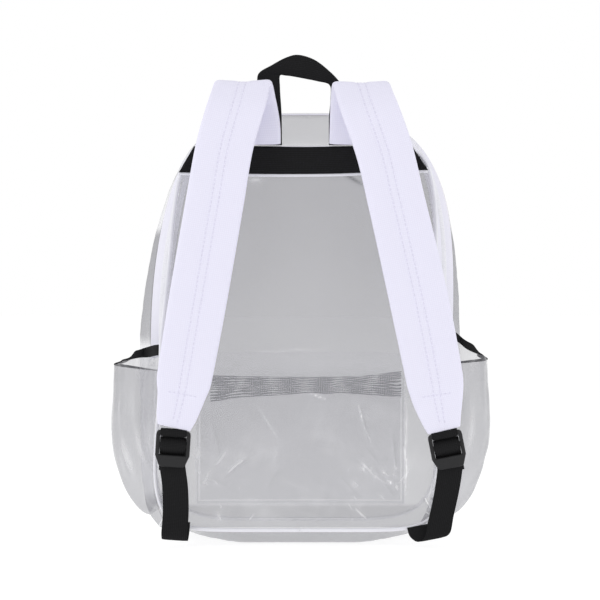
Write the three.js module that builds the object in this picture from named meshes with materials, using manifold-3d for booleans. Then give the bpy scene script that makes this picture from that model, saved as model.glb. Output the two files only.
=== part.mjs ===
// A clear film backpack with white padded shoulder straps and black webbing trim.
// Millimetres, +Z up. The straps are on the -Y side, and left and right are as seen from there.
// The origin is the middle of the flat that the bag stands on.
import * as THREE from 'three';
import { mergeVertices } from 'three/addons/utils/BufferGeometryUtils.js';
import Module from 'manifold-3d';

const wasm = await Module();
wasm.setup();

// Walls and clearances
const FILM = 1.0;
const TAPE = 1.2;
const WEBBING = 1.6;
const WEBBING_WIDTH = 25;
const GAP = 0.3;
const CLEARANCE = 0.6;
const STRIP_END_GAP = 0.9;
const WELD = 1e-4;

// Body: y is measured from the back panel, and BASE_Y is the middle of the flat below the bag.
const BASE_Y = 72;
const WAIST_Z = 205;
const RIB_COUNT = 64;
const OUTLINE_STEPS = 8 * RIB_COUNT;
const BOTTOM_RIBS = 7;
const LEAN = { most: 5.5, from: 200, to: 380 };
const WAIST_REACH = 150;
const BOTTOM_RISE = { most: 9, from: 55, to: 115 };

// One D-shaped loop round the body for each row, from the back seam to the front seam.
// The taper narrows a loop towards its top, the waist draws it in half way up, and the shift is to the right.
// The bottom of a loop is pressed flat on the floor in its middle, and hangs above it towards the sides.
const STATIONS = [
  { y: 0, halfWidth: 146, top: 399, bottom: 17, side: 12, arch: 12, corner: 8, taper: 22, waist: 7 },
  { y: 50, halfWidth: 136, top: 436, bottom: -4, side: 5.4, arch: 2.3, corner: 6, shift: 2 },
  { y: 79, halfWidth: 156.5, top: 438, bottom: -5, side: 3.9, arch: 2.65, corner: 6.5, shift: 2 },
  { y: 100, halfWidth: 167, top: 437, bottom: -5, side: 4.5, arch: 1.65, corner: 7 },
  { y: 143, halfWidth: 148, top: 408, bottom: 14, side: 8, arch: 8, corner: 6, taper: 8 },
];
const BACK_SEAM = 0;
const ZIP_REAR = 1;
const ZIP_FRONT = 2;
const FRONT_SEAM = STATIONS.length - 1;

// Seams and panels
const BINDING_RADIUS = 2;
const BINDING_SIDES = 6;
const PANEL_RINGS = [1, 0.82, 0.5];
const BACK_CROWN = 3;
const FRONT_CROWN = 9;
const ZIP_CHAIN = { from: 0.4, to: 0.6, height: 1.1 };
// Ribs at each end of the zip that have tape only, where the pockets are sewn across it
const CHAIN_START = 2;

// Black band across the top of the back panel, with slanted ends
const YOKE = { bottom: 374.5, top: 400.5, bottomLeft: -121, bottomRight: 128, topLeft: -106, topRight: 112 };
const YOKE_Y = -2.4;

// Shoulder straps: rows from the sewn end behind, over the fold and down to the buckle.
const STRAP_LEFT = [
  { x: -47.5, y: -4.6, z: 401.6, width: 57, thickness: 4 },
  { x: -47.8, y: -7, z: 420, width: 57, thickness: 8 },
  { x: -52, y: -9, z: 444, width: 57, thickness: 9 },
  { x: -56, y: -24, z: 460, width: 57, thickness: 9 },
  { x: -61, y: -40, z: 443, width: 57, thickness: 9 },
  { x: -73.5, y: -46, z: 399, width: 57, thickness: 9 },
  { x: -83, y: -48, z: 345, width: 58, thickness: 9 },
  { x: -100, y: -46, z: 247, width: 58, thickness: 9 },
  { x: -114, y: -39, z: 168, width: 55, thickness: 9 },
  { x: -117, y: -36, z: 152, width: 48, thickness: 8 },
  { x: -122, y: -33, z: 131, width: 40, thickness: 6 },
  { x: -124.3, y: -31.3, z: 121, width: 33, thickness: 4 },
];
const STRAP_RIGHT = [
  { x: 57.5, y: -4.6, z: 401.6, width: 57, thickness: 4 },
  { x: 57.7, y: -7, z: 420, width: 57, thickness: 8 },
  { x: 58.5, y: -9, z: 444, width: 57, thickness: 9 },
  { x: 60, y: -24, z: 459, width: 57, thickness: 9 },
  { x: 66, y: -40, z: 441, width: 57, thickness: 9 },
  { x: 82, y: -46, z: 395, width: 57, thickness: 9 },
  { x: 94, y: -48, z: 345, width: 57, thickness: 9 },
  { x: 116.5, y: -46, z: 247, width: 59, thickness: 9 },
  { x: 132.5, y: -39, z: 168, width: 57, thickness: 9 },
  { x: 135.5, y: -36, z: 149, width: 51, thickness: 8 },
  { x: 139, y: -33, z: 131, width: 41, thickness: 6 },
  { x: 142.3, y: -31, z: 118.1, width: 33, thickness: 4 },
];
const STRAP_STEPS = 34;

// Ladder-lock buckles: a frame with two slots above a thumb lip, in its own plane.
const BUCKLE = { width: 34, height: 37, waist: 27, rail: 3.8, depth: 4.4, bevel: 0.6, corner: 4 };
const BUCKLE_BARS = { lip: 12, lowerSlot: 20, middle: 24.5, upperSlot: 32.5 };
const BUCKLE_LEFT = { x: -127, y: -24, z: 82, turn: -0.07, lean: 0.19 };
const BUCKLE_RIGHT = { x: 149.5, y: -24, z: 81, turn: 0.2, lean: 0.19 };

// Lower webbing, below its buckle: rows from the bottom seam, round the fold and up.
const WEBBING_LEFT = [
  { x: -122.5, y: -3.2, z: 26 },
  { x: -123.5, y: -5.4, z: 14 },
  { x: -124.5, y: -9, z: 8.4 },
  { x: -125, y: -13, z: 13 },
  { x: -123.5, y: -14.5, z: 35 },
  { x: -124, y: -17, z: 62 },
];
const WEBBING_RIGHT = [
  { x: 119.5, y: -3.5, z: 22 },
  { x: 122, y: -5.2, z: 14 },
  { x: 129, y: -9, z: 9 },
  { x: 136, y: -13, z: 12.5 },
  { x: 140, y: -14.4, z: 30 },
  { x: 146.5, y: -17, z: 62 },
];
// The rest of its way, in the buckle's plane: up is along the buckle, out is towards the wearer.
const BUCKLE_THREAD = [
  { up: 4, out: -3.7 },
  { up: 11, out: -3.7 },
  { up: 12.6, out: -3 },
  { up: 16, out: 0 },
  { up: 19.4, out: 3 },
  { up: 21, out: 3.7 },
  { up: 23.5, out: 3.7 },
  { up: 25.4, out: 2.9 },
  { up: 28, out: 0 },
  { up: 29.2, out: -3.4 },
  { up: 26, out: -6 },
  { up: 18, out: -6.8 },
  { up: 8, out: -7.4 },
  { up: -6, out: -8 },
];
const WEBBING_STEPS = 46;

// Handle: a row for each section, with its outer and inner edge.
const HANDLE = [
  { outerX: -44, outerZ: 401.8, innerX: -18, innerZ: 401.8, y: -1.6 },
  { outerX: -44, outerZ: 435, innerX: -18.5, innerZ: 435, y: 2 },
  { outerX: -43, outerZ: 462, innerX: -20, innerZ: 460, y: 2 },
  { outerX: -41.5, outerZ: 473.5, innerX: -19.5, innerZ: 472, y: 1 },
  { outerX: -28, outerZ: 482, innerX: -13, innerZ: 471.3, y: -0.5 },
  { outerX: -14, outerZ: 489.3, innerX: -7, innerZ: 470.3, y: -1.5 },
  { outerX: -3, outerZ: 492, innerX: 0, innerZ: 469, y: -2 },
  { outerX: 13, outerZ: 487.8, innerX: 8, innerZ: 467.5, y: -1.5 },
  { outerX: 27, outerZ: 478, innerX: 18, innerZ: 465.5, y: -0.5 },
  { outerX: 40, outerZ: 464.5, innerX: 29.5, innerZ: 462, y: 1 },
  { outerX: 46, outerZ: 450, innerX: 30.5, innerZ: 448, y: 2 },
  { outerX: 53, outerZ: 430, innerX: 29, innerZ: 430, y: 2 },
  { outerX: 54, outerZ: 401.8, innerX: 29, innerZ: 401.8, y: -1.6 },
];
const HANDLE_STEPS = 40;

// Side pockets: the mouth's height at each station of the body.
const POCKET_LEFT = { side: -1, mouth: [203, 198, 193, 187, 179], bulge: 39 };
const POCKET_RIGHT = { side: 1, mouth: [225, 211, 198, 192, 186], bulge: 39 };
const POCKET_STATIONS = [0.12, 0.5, 1, 1.5, 2, 2.5, 3, 3.5, 3.9];
const POCKET_COLUMNS = [0, 0.06, 0.14, 0.26, 0.42, 0.6, 0.8, 1];
const POCKET_ROUND = { share: 0.74, power: 0.72 };
const POCKET_FOOT_RIB = BOTTOM_RIBS + 0.75;
const POCKET_MOUTH = { share: 0.86, from: 0.4 };
const BULGE_POWER = 0.7;
const POCKET_BINDING = { height: 8, thickness: 2.2 };

// Front pocket and the gathered mesh along its top
const FRONT_POCKET = { left: -112, right: 112.5, bottom: 28.5, top: 191.5, bulge: 22, belly: 0.9, mouth: 11 };
const FRONT_POCKET_COLUMNS = 14;
const FRONT_POCKET_ROWS = 9;
const MESH = { left: -96, right: 108.5, columns: 22, folds: 4, foldDepth: 2.2, thickness: 1 };
const MESH_EDGES = [
  { x: -96, low: 138, high: 166.5 },
  { x: -50, low: 143, high: 165 },
  { x: 0, low: 146, high: 164.5 },
  { x: 60, low: 146, high: 165 },
  { x: 108.5, low: 143, high: 171 },
];

// Zip slider, parked just past the crest
const SLIDER = { rib: 29.6, length: 12, width: 9, height: 4.5 };
const PULL = { length: 30, width: 8, hole: 2, thickness: 1.6 };

const clearFilm = new THREE.MeshStandardMaterial({
  color: 0xd9d9e0, roughness: 0.2, metalness: 0, transparent: true, opacity: 0.35,
});
const whiteTape = new THREE.MeshStandardMaterial({ color: 0xe6e4f0, roughness: 0.8, metalness: 0 });
const whiteBinding = new THREE.MeshStandardMaterial({ color: 0xf0f0f4, roughness: 0.5, metalness: 0 });
const whiteStrap = new THREE.MeshStandardMaterial({ color: 0xebe9f7, roughness: 0.75, metalness: 0 });
const blackWebbing = new THREE.MeshStandardMaterial({ color: 0x1e1e20, roughness: 0.85, metalness: 0 });
const blackPlastic = new THREE.MeshStandardMaterial({ color: 0x2a2a2c, roughness: 0.45, metalness: 0 });
const greyMesh = new THREE.MeshStandardMaterial({ color: 0x8f8e96, roughness: 0.9, metalness: 0 });
const sliderMetal = new THREE.MeshStandardMaterial({ color: 0xc9c9cf, roughness: 0.35, metalness: 1 });

const bag = new THREE.Group();
bag.position.y = -BASE_Y;

function addPiece(name, geometry, material) {
  const piece = new THREE.Mesh(geometry, material);
  piece.name = name;
  bag.add(piece);
  return piece;
}

// Makes a geometry from shared points and turns its faces outwards.
function closedGeometry(points, triangles) {
  const raw = new THREE.BufferGeometry().setFromPoints(points);
  raw.setIndex(triangles);
  const merged = mergeVertices(raw, WELD);
  const corners = merged.index.array;
  const place = (corner) => new THREE.Vector3().fromBufferAttribute(merged.attributes.position, corner);
  const kept = [];
  let volume = 0;
  for (let i = 0; i < corners.length; i += 3) {
    const [a, b, c] = corners.slice(i, i + 3);
    if (a === b || b === c || c === a) continue;
    kept.push(a, b, c);
    volume += place(a).dot(place(b).cross(place(c)));
  }
  merged.setIndex(volume > 0 ? kept : kept.reverse());
  merged.computeVertexNormals();
  return merged;
}

// The normal of a grid of points at one of them, along (next row) x (next column).
function gridNormal(grid, row, column, wraps) {
  const columns = grid[0].length;
  const before = wraps ? (column + columns - 1) % columns : Math.max(column - 1, 0);
  const after = wraps ? (column + 1) % columns : Math.min(column + 1, columns - 1);
  const down = grid[Math.min(row + 1, grid.length - 1)][column].clone();
  down.sub(grid[Math.max(row - 1, 0)][column]);
  const across = grid[row][after].clone().sub(grid[row][before]);
  return down.cross(across).normalize();
}

// A wall with one face on a grid of points and the other face where shift moves each of them.
// A number shifts along the grid's normal.
function wall(grid, shift, wraps = false) {
  const rows = grid.length;
  const columns = grid[0].length;
  const move = (row, column) =>
    shift instanceof THREE.Vector3 ? shift : gridNormal(grid, row, column, wraps).multiplyScalar(shift);
  const far = grid.map((line, row) => line.map((point, column) => point.clone().add(move(row, column))));
  const points = [...grid.flat(), ...far.flat()];
  const near = (row, column) => row * columns + (column % columns);
  const back = (row, column) => rows * columns + near(row, column);
  const triangles = [];
  const quad = (a, b, c, d) => triangles.push(a, b, c, a, c, d);
  const lastColumn = wraps ? columns : columns - 1;
  const last = rows - 1;
  for (let row = 0; row < rows - 1; row++) {
    for (let column = 0; column < lastColumn; column++) {
      quad(near(row, column), near(row + 1, column), near(row + 1, column + 1), near(row, column + 1));
      quad(back(row, column), back(row, column + 1), back(row + 1, column + 1), back(row + 1, column));
    }
  }
  for (let column = 0; column < lastColumn; column++) {
    quad(near(0, column), near(0, column + 1), back(0, column + 1), back(0, column));
    quad(near(last, column + 1), near(last, column), back(last, column), back(last, column + 1));
  }
  for (let row = 0; row < rows - 1 && !wraps; row++) {
    quad(near(row + 1, 0), near(row, 0), back(row, 0), back(row + 1, 0));
    quad(near(row, lastColumn), near(row + 1, lastColumn), back(row + 1, lastColumn), back(row, lastColumn));
  }
  return closedGeometry(points, triangles);
}

// A solid through rings of points: a closed loop of rings, or one capped at both ends.
function loft(rings, closes = false) {
  const count = rings.length;
  const sides = rings[0].length;
  const at = (ring, side) => (ring % count) * sides + (side % sides);
  const triangles = [];
  for (let ring = 0; ring < (closes ? count : count - 1); ring++) {
    for (let side = 0; side < sides; side++) {
      triangles.push(at(ring, side), at(ring + 1, side), at(ring + 1, side + 1));
      triangles.push(at(ring, side), at(ring + 1, side + 1), at(ring, side + 1));
    }
  }
  for (let side = 1; side < sides - 1 && !closes; side++) {
    triangles.push(at(0, 0), at(0, side), at(0, side + 1));
    triangles.push(at(count - 1, 0), at(count - 1, side + 1), at(count - 1, side));
  }
  return closedGeometry(rings.flat(), triangles);
}

// Joins closed geometries into one solid.
function join(...geometries) {
  const solids = geometries.map((geometry) => {
    const bare = geometry.clone();
    bare.deleteAttribute('normal');
    bare.deleteAttribute('uv');
    const merged = mergeVertices(bare);
    const vertProperties = new Float32Array(merged.attributes.position.array);
    const triVerts = new Uint32Array(merged.index.array);
    return new wasm.Manifold(new wasm.Mesh({ numProp: 3, vertProperties, triVerts }));
  });
  const mesh = solids.reduce((whole, solid) => whole.add(solid)).getMesh();
  const joined = new THREE.BufferGeometry();
  joined.setAttribute('position', new THREE.BufferAttribute(mesh.vertProperties, 3));
  joined.setIndex(new THREE.BufferAttribute(mesh.triVerts, 1));
  joined.computeVertexNormals();
  return joined;
}

// Body surface: loops at the stations, and ribs that run through them from back to front.
function outlinePoint(station, angle) {
  const { taper = 0, waist = 0, shift = 0 } = station;
  const low = Math.cos(angle) > 0;
  const reach = low ? WAIST_Z - station.bottom : station.top - WAIST_Z;
  const sidePower = low ? station.corner : station.side;
  const archPower = low ? station.corner : station.arch;
  const rise = -Math.sign(Math.cos(angle)) * Math.abs(Math.cos(angle)) ** (2 / archPower);
  const z = WAIST_Z + reach * rise;
  const nearWaist = (1 - Math.min(Math.abs(z - WAIST_Z) / WAIST_REACH, 1) ** 2) ** 2;
  const halfWidth = station.halfWidth - taper * Math.max(rise, 0) - waist * nearWaist;
  const x = halfWidth * Math.sign(Math.sin(angle)) * Math.abs(Math.sin(angle)) ** (2 / sidePower);
  const lean = LEAN.most * THREE.MathUtils.smoothstep(z, LEAN.from, LEAN.to);
  return new THREE.Vector2(x + shift + lean, z);
}

function stationLoop(station) {
  const corners = Array.from({ length: OUTLINE_STEPS + 1 }, (_, step) =>
    outlinePoint(station, (2 * Math.PI * step) / OUTLINE_STEPS),
  );
  const spaced = new THREE.Path().setFromPoints(corners).getSpacedPoints(RIB_COUNT);
  return spaced.slice(0, RIB_COUNT).map((point) => new THREE.Vector3(point.x, station.y, point.y));
}

const LOOPS = STATIONS.map(stationLoop);
const RIBS = LOOPS[0].map((_, rib) => new THREE.CatmullRomCurve3(LOOPS.map((loop) => loop[rib])));

function bodyPoint(rib, station) {
  const low = Math.floor(rib);
  const along = station / FRONT_SEAM;
  const point = RIBS[low % RIB_COUNT].getPoint(along);
  point.lerp(RIBS[(low + 1) % RIB_COUNT].getPoint(along), rib - low);
  const { most, from, to } = BOTTOM_RISE;
  point.z = Math.max(point.z, most * THREE.MathUtils.smoothstep(Math.abs(point.x), from, to));
  return point;
}

function bodyNormal(rib, station) {
  const step = 0.05;
  const along = bodyPoint(rib, Math.min(station + step, FRONT_SEAM));
  along.sub(bodyPoint(rib, Math.max(station - step, 0)));
  const around = bodyPoint(rib + step, station).sub(bodyPoint(rib - step, station));
  return along.cross(around).normalize();
}

const RIB_SPACING = LOOPS[ZIP_FRONT][0].distanceTo(LOOPS[ZIP_FRONT][1]);
const SEAM_ROOM = BINDING_RADIUS + GAP;
const afterBackSeam = SEAM_ROOM / (STATIONS[ZIP_REAR].y - STATIONS[BACK_SEAM].y);
const beforeFrontSeam = FRONT_SEAM - SEAM_ROOM / (STATIONS[FRONT_SEAM].y - STATIONS[FRONT_SEAM - 1].y);
const archEnd = BOTTOM_RIBS + STRIP_END_GAP / RIB_SPACING;
const archRibs = [archEnd];
for (let rib = BOTTOM_RIBS + 1; rib < RIB_COUNT - BOTTOM_RIBS; rib++) archRibs.push(rib);
archRibs.push(RIB_COUNT - archEnd);

function archStrip(stations, heights, thickness) {
  const grid = stations.map((station, row) =>
    archRibs.map((rib, column) => {
      const inside = column >= CHAIN_START && column < archRibs.length - CHAIN_START;
      return bodyPoint(rib, station).addScaledVector(bodyNormal(rib, station), inside ? heights[row] : 0);
    }),
  );
  return wall(grid, -thickness);
}

const tapeEdge = CLEARANCE / (STATIONS[ZIP_FRONT].y - STATIONS[ZIP_REAR].y);
const rearStations = [afterBackSeam, 0.5, ZIP_REAR];
const tapeStations = [tapeEdge, ZIP_CHAIN.from, ZIP_CHAIN.to, 1 - tapeEdge].map((share) => ZIP_REAR + share);
const frontStations = [ZIP_FRONT, 2.5, 3, 3.5, beforeFrontSeam];
const flat = frontStations.map(() => 0);
addPiece('gusset_rear_strip', archStrip(rearStations, flat, FILM), clearFilm);
addPiece('zip_tape', archStrip(tapeStations, [0, ZIP_CHAIN.height, ZIP_CHAIN.height, 0], TAPE), whiteTape);
addPiece('gusset_front_strip', archStrip(frontStations, flat, FILM), clearFilm);

const bottomRibs = [];
for (let rib = -BOTTOM_RIBS; rib <= BOTTOM_RIBS; rib++) bottomRibs.push(rib + RIB_COUNT);
const bottomStations = [afterBackSeam, 0.3, 0.5, 0.75, 1, 2, 3, 3.3, 3.6, beforeFrontSeam];
const bottomGrid = bottomStations.map((station) => bottomRibs.map((rib) => bodyPoint(rib, station)));
addPiece('bottom_gusset', wall(bottomGrid, -FILM), clearFilm);

// Panels: rings of the seam's loop drawn in towards its middle, crowned by a smooth bulge.
function crown(x, z, station, height) {
  const across = 1 - (x / station.halfWidth) ** 2;
  const up = 1 - ((z - WAIST_Z) / (station.top - WAIST_Z)) ** 2;
  return height * Math.max(across, 0) * Math.max(up, 0);
}

function frontY(x, z) {
  const station = STATIONS[FRONT_SEAM];
  return station.y + FILM / 2 + crown(x, z, station, FRONT_CROWN);
}

function backY(x, z) {
  return -FILM / 2 + crown(x, z, STATIONS[BACK_SEAM], BACK_CROWN);
}

function seamLoop(index, inset) {
  const loop = LOOPS[index];
  return loop.map((point, rib) => {
    const before = loop[(rib + RIB_COUNT - 1) % RIB_COUNT];
    const along = loop[(rib + 1) % RIB_COUNT].clone().sub(before).normalize();
    return new THREE.Vector3(point.x - inset * along.z, point.y, point.z + inset * along.x);
  });
}

function panel(index, faceY, thickness) {
  const edge = seamLoop(index, SEAM_ROOM);
  const middle = new THREE.Vector3(0, 0, WAIST_Z);
  const onFace = (point) => new THREE.Vector3(point.x, faceY(point.x, point.z), point.z);
  const grid = PANEL_RINGS.map((share) =>
    edge.map((point) => onFace(middle.clone().lerp(point, share))),
  );
  grid.push(edge.map(() => onFace(middle)));
  return wall(grid, new THREE.Vector3(0, thickness, 0), true);
}

function seamBinding(index) {
  const centre = seamLoop(index, 0);
  const rings = seamLoop(index, -1).map((outer, rib) => {
    const out = outer.sub(centre[rib]);
    return Array.from({ length: BINDING_SIDES }, (_, side) => {
      const angle = (2 * Math.PI * side) / BINDING_SIDES;
      const point = centre[rib].clone().addScaledVector(out, BINDING_RADIUS * Math.cos(angle));
      point.y += BINDING_RADIUS * Math.sin(angle);
      return point;
    });
  });
  return loft(rings, true);
}

addPiece('back_panel', panel(BACK_SEAM, backY, FILM), clearFilm);
addPiece('front_panel', panel(FRONT_SEAM, frontY, -FILM), clearFilm);
addPiece('back_seam_binding', seamBinding(BACK_SEAM), whiteBinding);
addPiece('front_seam_binding', seamBinding(FRONT_SEAM), whiteBinding);

// Yoke band, lying on the back seam
const yokeShape = new THREE.Shape([
  new THREE.Vector2(YOKE.bottomLeft, YOKE.bottom),
  new THREE.Vector2(YOKE.bottomRight, YOKE.bottom),
  new THREE.Vector2(YOKE.topRight, YOKE.top),
  new THREE.Vector2(YOKE.topLeft, YOKE.top),
]);
const yokeGeometry = new THREE.ExtrudeGeometry(yokeShape, { depth: WEBBING, bevelEnabled: false });
const yoke = addPiece('back_yoke_band', yokeGeometry, blackWebbing);
yoke.rotation.x = Math.PI / 2;
yoke.position.y = YOKE_Y;

const SIDEWAYS = new THREE.Vector3(1, 0, 0);

// Straps and webbing: flat sections with rounded edges, swept along a curve with their width across it.
function sectionRing(centre, along, across, width, thickness, edge) {
  const out = across.clone().cross(along).normalize();
  const half = width / 2;
  const corners = [
    [half, 0], [half - edge, 1], [0, 1], [edge - half, 1],
    [-half, 0], [edge - half, -1], [0, -1], [half - edge, -1],
  ];
  return corners.map(([side, face]) =>
    centre.clone().addScaledVector(across, side).addScaledVector(out, (face * thickness) / 2),
  );
}

function padded(rows) {
  const path = new THREE.CatmullRomCurve3(rows.map((row) => new THREE.Vector3(row.x, row.y, row.z)));
  const sizes = new THREE.CatmullRomCurve3(rows.map((row) => new THREE.Vector3(row.width, row.thickness, 0)));
  const rings = [];
  for (let step = 0; step <= STRAP_STEPS; step++) {
    const along = step / STRAP_STEPS;
    const size = sizes.getPoint(along);
    const tangent = path.getTangent(along);
    const across = SIDEWAYS.clone().addScaledVector(tangent, -tangent.x).normalize();
    rings.push(sectionRing(path.getPoint(along), tangent, across, size.x, size.y, size.y / 2));
  }
  return loft(rings);
}

addPiece('shoulder_strap_left', padded(STRAP_LEFT), whiteStrap);
addPiece('shoulder_strap_right', padded(STRAP_RIGHT), whiteStrap);

// Buckles: the frame's outline narrows to a rounded lip below the slots.
function buckleGeometry() {
  const { width, height, waist, corner, rail, bevel } = BUCKLE;
  const half = width / 2 - bevel;
  const foot = waist / 2 - bevel;
  const outline = new THREE.Shape();
  outline.moveTo(-foot + corner, bevel);
  outline.lineTo(foot - corner, bevel);
  outline.quadraticCurveTo(foot, bevel, foot + bevel, bevel + corner);
  outline.lineTo(half, BUCKLE_BARS.lip);
  outline.lineTo(half, height - bevel - corner);
  outline.quadraticCurveTo(half, height - bevel, half - corner, height - bevel);
  outline.lineTo(corner - half, height - bevel);
  outline.quadraticCurveTo(-half, height - bevel, -half, height - bevel - corner);
  outline.lineTo(-half, BUCKLE_BARS.lip);
  outline.lineTo(-foot - bevel, bevel + corner);
  outline.quadraticCurveTo(-foot, bevel, corner - foot, bevel);
  const slotHalf = width / 2 - rail + bevel;
  const slot = (low, high) =>
    new THREE.Path([
      new THREE.Vector2(-slotHalf, low - bevel),
      new THREE.Vector2(-slotHalf, high + bevel),
      new THREE.Vector2(slotHalf, high + bevel),
      new THREE.Vector2(slotHalf, low - bevel),
    ]);
  outline.holes.push(slot(BUCKLE_BARS.lip, BUCKLE_BARS.lowerSlot));
  outline.holes.push(slot(BUCKLE_BARS.middle, BUCKLE_BARS.upperSlot));
  const depth = BUCKLE.depth - 2 * bevel;
  const edges = { bevelThickness: bevel, bevelSize: bevel, bevelSegments: 1, curveSegments: 3 };
  const frame = new THREE.ExtrudeGeometry(outline, { depth, ...edges });
  return frame.translate(0, 0, -depth / 2);
}

// A buckle's plane: its own up and outwards directions from its foot.
function buckleFrame(place) {
  const frame = new THREE.Matrix4().makeRotationX(Math.PI / 2 + place.lean);
  frame.multiply(new THREE.Matrix4().makeRotationZ(place.turn));
  return frame.setPosition(place.x, place.y, place.z);
}

function addBuckle(name, place) {
  const buckle = addPiece(name, buckleGeometry(), blackPlastic);
  buckle.applyMatrix4(buckleFrame(place));
}

addBuckle('buckle_left', BUCKLE_LEFT);
addBuckle('buckle_right', BUCKLE_RIGHT);

// Lower webbing: up from the bottom seam, over the buckle's middle bar and down behind as a short tail.
function webbing(rows, place) {
  const frame = buckleFrame(place);
  const below = rows.map((row) => new THREE.Vector3(row.x, row.y, row.z));
  const threaded = BUCKLE_THREAD.map((row) => new THREE.Vector3(0, row.up, row.out).applyMatrix4(frame));
  const path = new THREE.CatmullRomCurve3([...below, ...threaded]);
  const across = new THREE.Vector3().setFromMatrixColumn(frame, 0);
  const rings = [];
  for (let step = 0; step <= WEBBING_STEPS; step++) {
    const along = step / WEBBING_STEPS;
    const ring = sectionRing(path.getPoint(along), path.getTangent(along), across, WEBBING_WIDTH, WEBBING, 0);
    rings.push(ring.filter((_, corner) => corner % 2 === 1));
  }
  return loft(rings);
}

addPiece('lower_webbing_left', webbing(WEBBING_LEFT, BUCKLE_LEFT), blackWebbing);
addPiece('lower_webbing_right', webbing(WEBBING_RIGHT, BUCKLE_RIGHT), blackWebbing);

// Handle: one band of webbing, drawn by its two edges.
function handle() {
  const edge = (x, z) =>
    new THREE.CatmullRomCurve3(HANDLE.map((row) => new THREE.Vector3(row[x], row.y, row[z])));
  const outer = edge('outerX', 'outerZ');
  const inner = edge('innerX', 'innerZ');
  const grid = [];
  for (let step = 0; step <= HANDLE_STEPS; step++) {
    const along = step / HANDLE_STEPS;
    grid.push([outer.getPoint(along), inner.getPoint(along)]);
  }
  return wall(grid, WEBBING);
}

addPiece('grab_handle', handle(), blackWebbing);

// Side pockets: film that stands off the gusset, sewn down along its back, bottom and front edges.
function ribAtHeight(side, station, z) {
  for (let rib = BOTTOM_RIBS; rib < RIB_COUNT / 2; rib++) {
    const at = side > 0 ? rib : RIB_COUNT - rib;
    const low = bodyPoint(at, station).z;
    const high = bodyPoint(at + side, station).z;
    if (high >= z) return at + (side * (z - low)) / (high - low);
  }
  return RIB_COUNT / 2;
}

function mouthHeight(pocket, station) {
  const edge = new THREE.SplineCurve(pocket.mouth.map((height, at) => new THREE.Vector2(at, height)));
  return edge.getPoint(station / FRONT_SEAM).y;
}

function pocketPoint(pocket, station, up, rise = 0) {
  const first = POCKET_STATIONS[0];
  const last = POCKET_STATIONS[POCKET_STATIONS.length - 1];
  const depth = (station - first) / (last - first);
  const foot = pocket.side > 0 ? POCKET_FOOT_RIB : RIB_COUNT - POCKET_FOOT_RIB;
  const mouth = mouthHeight(pocket, station) - POCKET_BINDING.height - GAP;
  const rib = rise
    ? ribAtHeight(pocket.side, station, mouth + rise)
    : THREE.MathUtils.lerp(foot, ribAtHeight(pocket.side, station, mouth), up);
  const round = (1 - Math.max(1 - up / POCKET_ROUND.share, 0) ** 2) ** POCKET_ROUND.power;
  const closing = THREE.MathUtils.smoothstep(up, POCKET_MOUTH.from, 1);
  const drawnIn = THREE.MathUtils.lerp(1, POCKET_MOUTH.share, closing);
  const stand = pocket.bulge * Math.sin(Math.PI * depth) ** BULGE_POWER * round * drawnIn;
  return bodyPoint(rib, station).addScaledVector(bodyNormal(rib, station), CLEARANCE + stand);
}

function addPocket(word, pocket) {
  const film = POCKET_STATIONS.map((station) => POCKET_COLUMNS.map((up) => pocketPoint(pocket, station, up)));
  addPiece('side_pocket_' + word, wall(film, pocket.side * FILM), clearFilm);
  const rises = [GAP, POCKET_BINDING.height];
  const mouth = POCKET_STATIONS.map((station) => rises.map((rise) => pocketPoint(pocket, station, 1, rise)));
  addPiece('pocket_binding_' + word, wall(mouth, pocket.side * POCKET_BINDING.thickness), blackWebbing);
}

addPocket('left', POCKET_LEFT);
addPocket('right', POCKET_RIGHT);

// Front pocket: film that stands off the front panel, open along its top.
function frontPocketY(x, z) {
  const { left, right, bottom, top, bulge, belly, mouth } = FRONT_POCKET;
  const across = Math.max(Math.sin((Math.PI * (x - left)) / (right - left)), 0) ** BULGE_POWER;
  const up = (z - bottom) / (top - bottom);
  const swell = Math.sin(Math.PI * Math.min(up / belly, 1)) ** BULGE_POWER * (1 - up);
  return frontY(x, z) + CLEARANCE + across * (bulge * swell + mouth * up);
}

function frontPocketGrid() {
  const { left, right, bottom, top } = FRONT_POCKET;
  const grid = [];
  for (let row = 0; row <= FRONT_POCKET_ROWS; row++) {
    const z = THREE.MathUtils.lerp(bottom, top, row / FRONT_POCKET_ROWS);
    const line = [];
    for (let column = 0; column <= FRONT_POCKET_COLUMNS; column++) {
      const x = THREE.MathUtils.lerp(left, right, column / FRONT_POCKET_COLUMNS);
      line.push(new THREE.Vector3(x, frontPocketY(x, z), z));
    }
    grid.push(line);
  }
  return grid;
}

addPiece('front_pocket', wall(frontPocketGrid(), new THREE.Vector3(0, FILM, 0)), clearFilm);

// Gathered mesh: pleats that run along the pocket's top edge.
function meshEdge(x, key) {
  const after = MESH_EDGES.findIndex((row) => row.x >= x);
  const high = MESH_EDGES[Math.max(after, 1)];
  const low = MESH_EDGES[Math.max(after, 1) - 1];
  return THREE.MathUtils.lerp(low[key], high[key], (x - low.x) / (high.x - low.x));
}

function gatheredMesh() {
  const rows = 2 * MESH.folds;
  const grid = [];
  for (let row = 0; row <= rows; row++) {
    const line = [];
    for (let column = 0; column <= MESH.columns; column++) {
      const x = THREE.MathUtils.lerp(MESH.left, MESH.right, column / MESH.columns);
      const z = THREE.MathUtils.lerp(meshEdge(x, 'low'), meshEdge(x, 'high'), row / rows);
      const y = frontPocketY(x, z) + FILM + CLEARANCE + (row % 2 ? MESH.foldDepth : 0);
      line.push(new THREE.Vector3(x, y, z));
    }
    grid.push(line);
  }
  return wall(grid, new THREE.Vector3(0, MESH.thickness, 0));
}

addPiece('front_pocket_mesh', gatheredMesh(), greyMesh);

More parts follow.
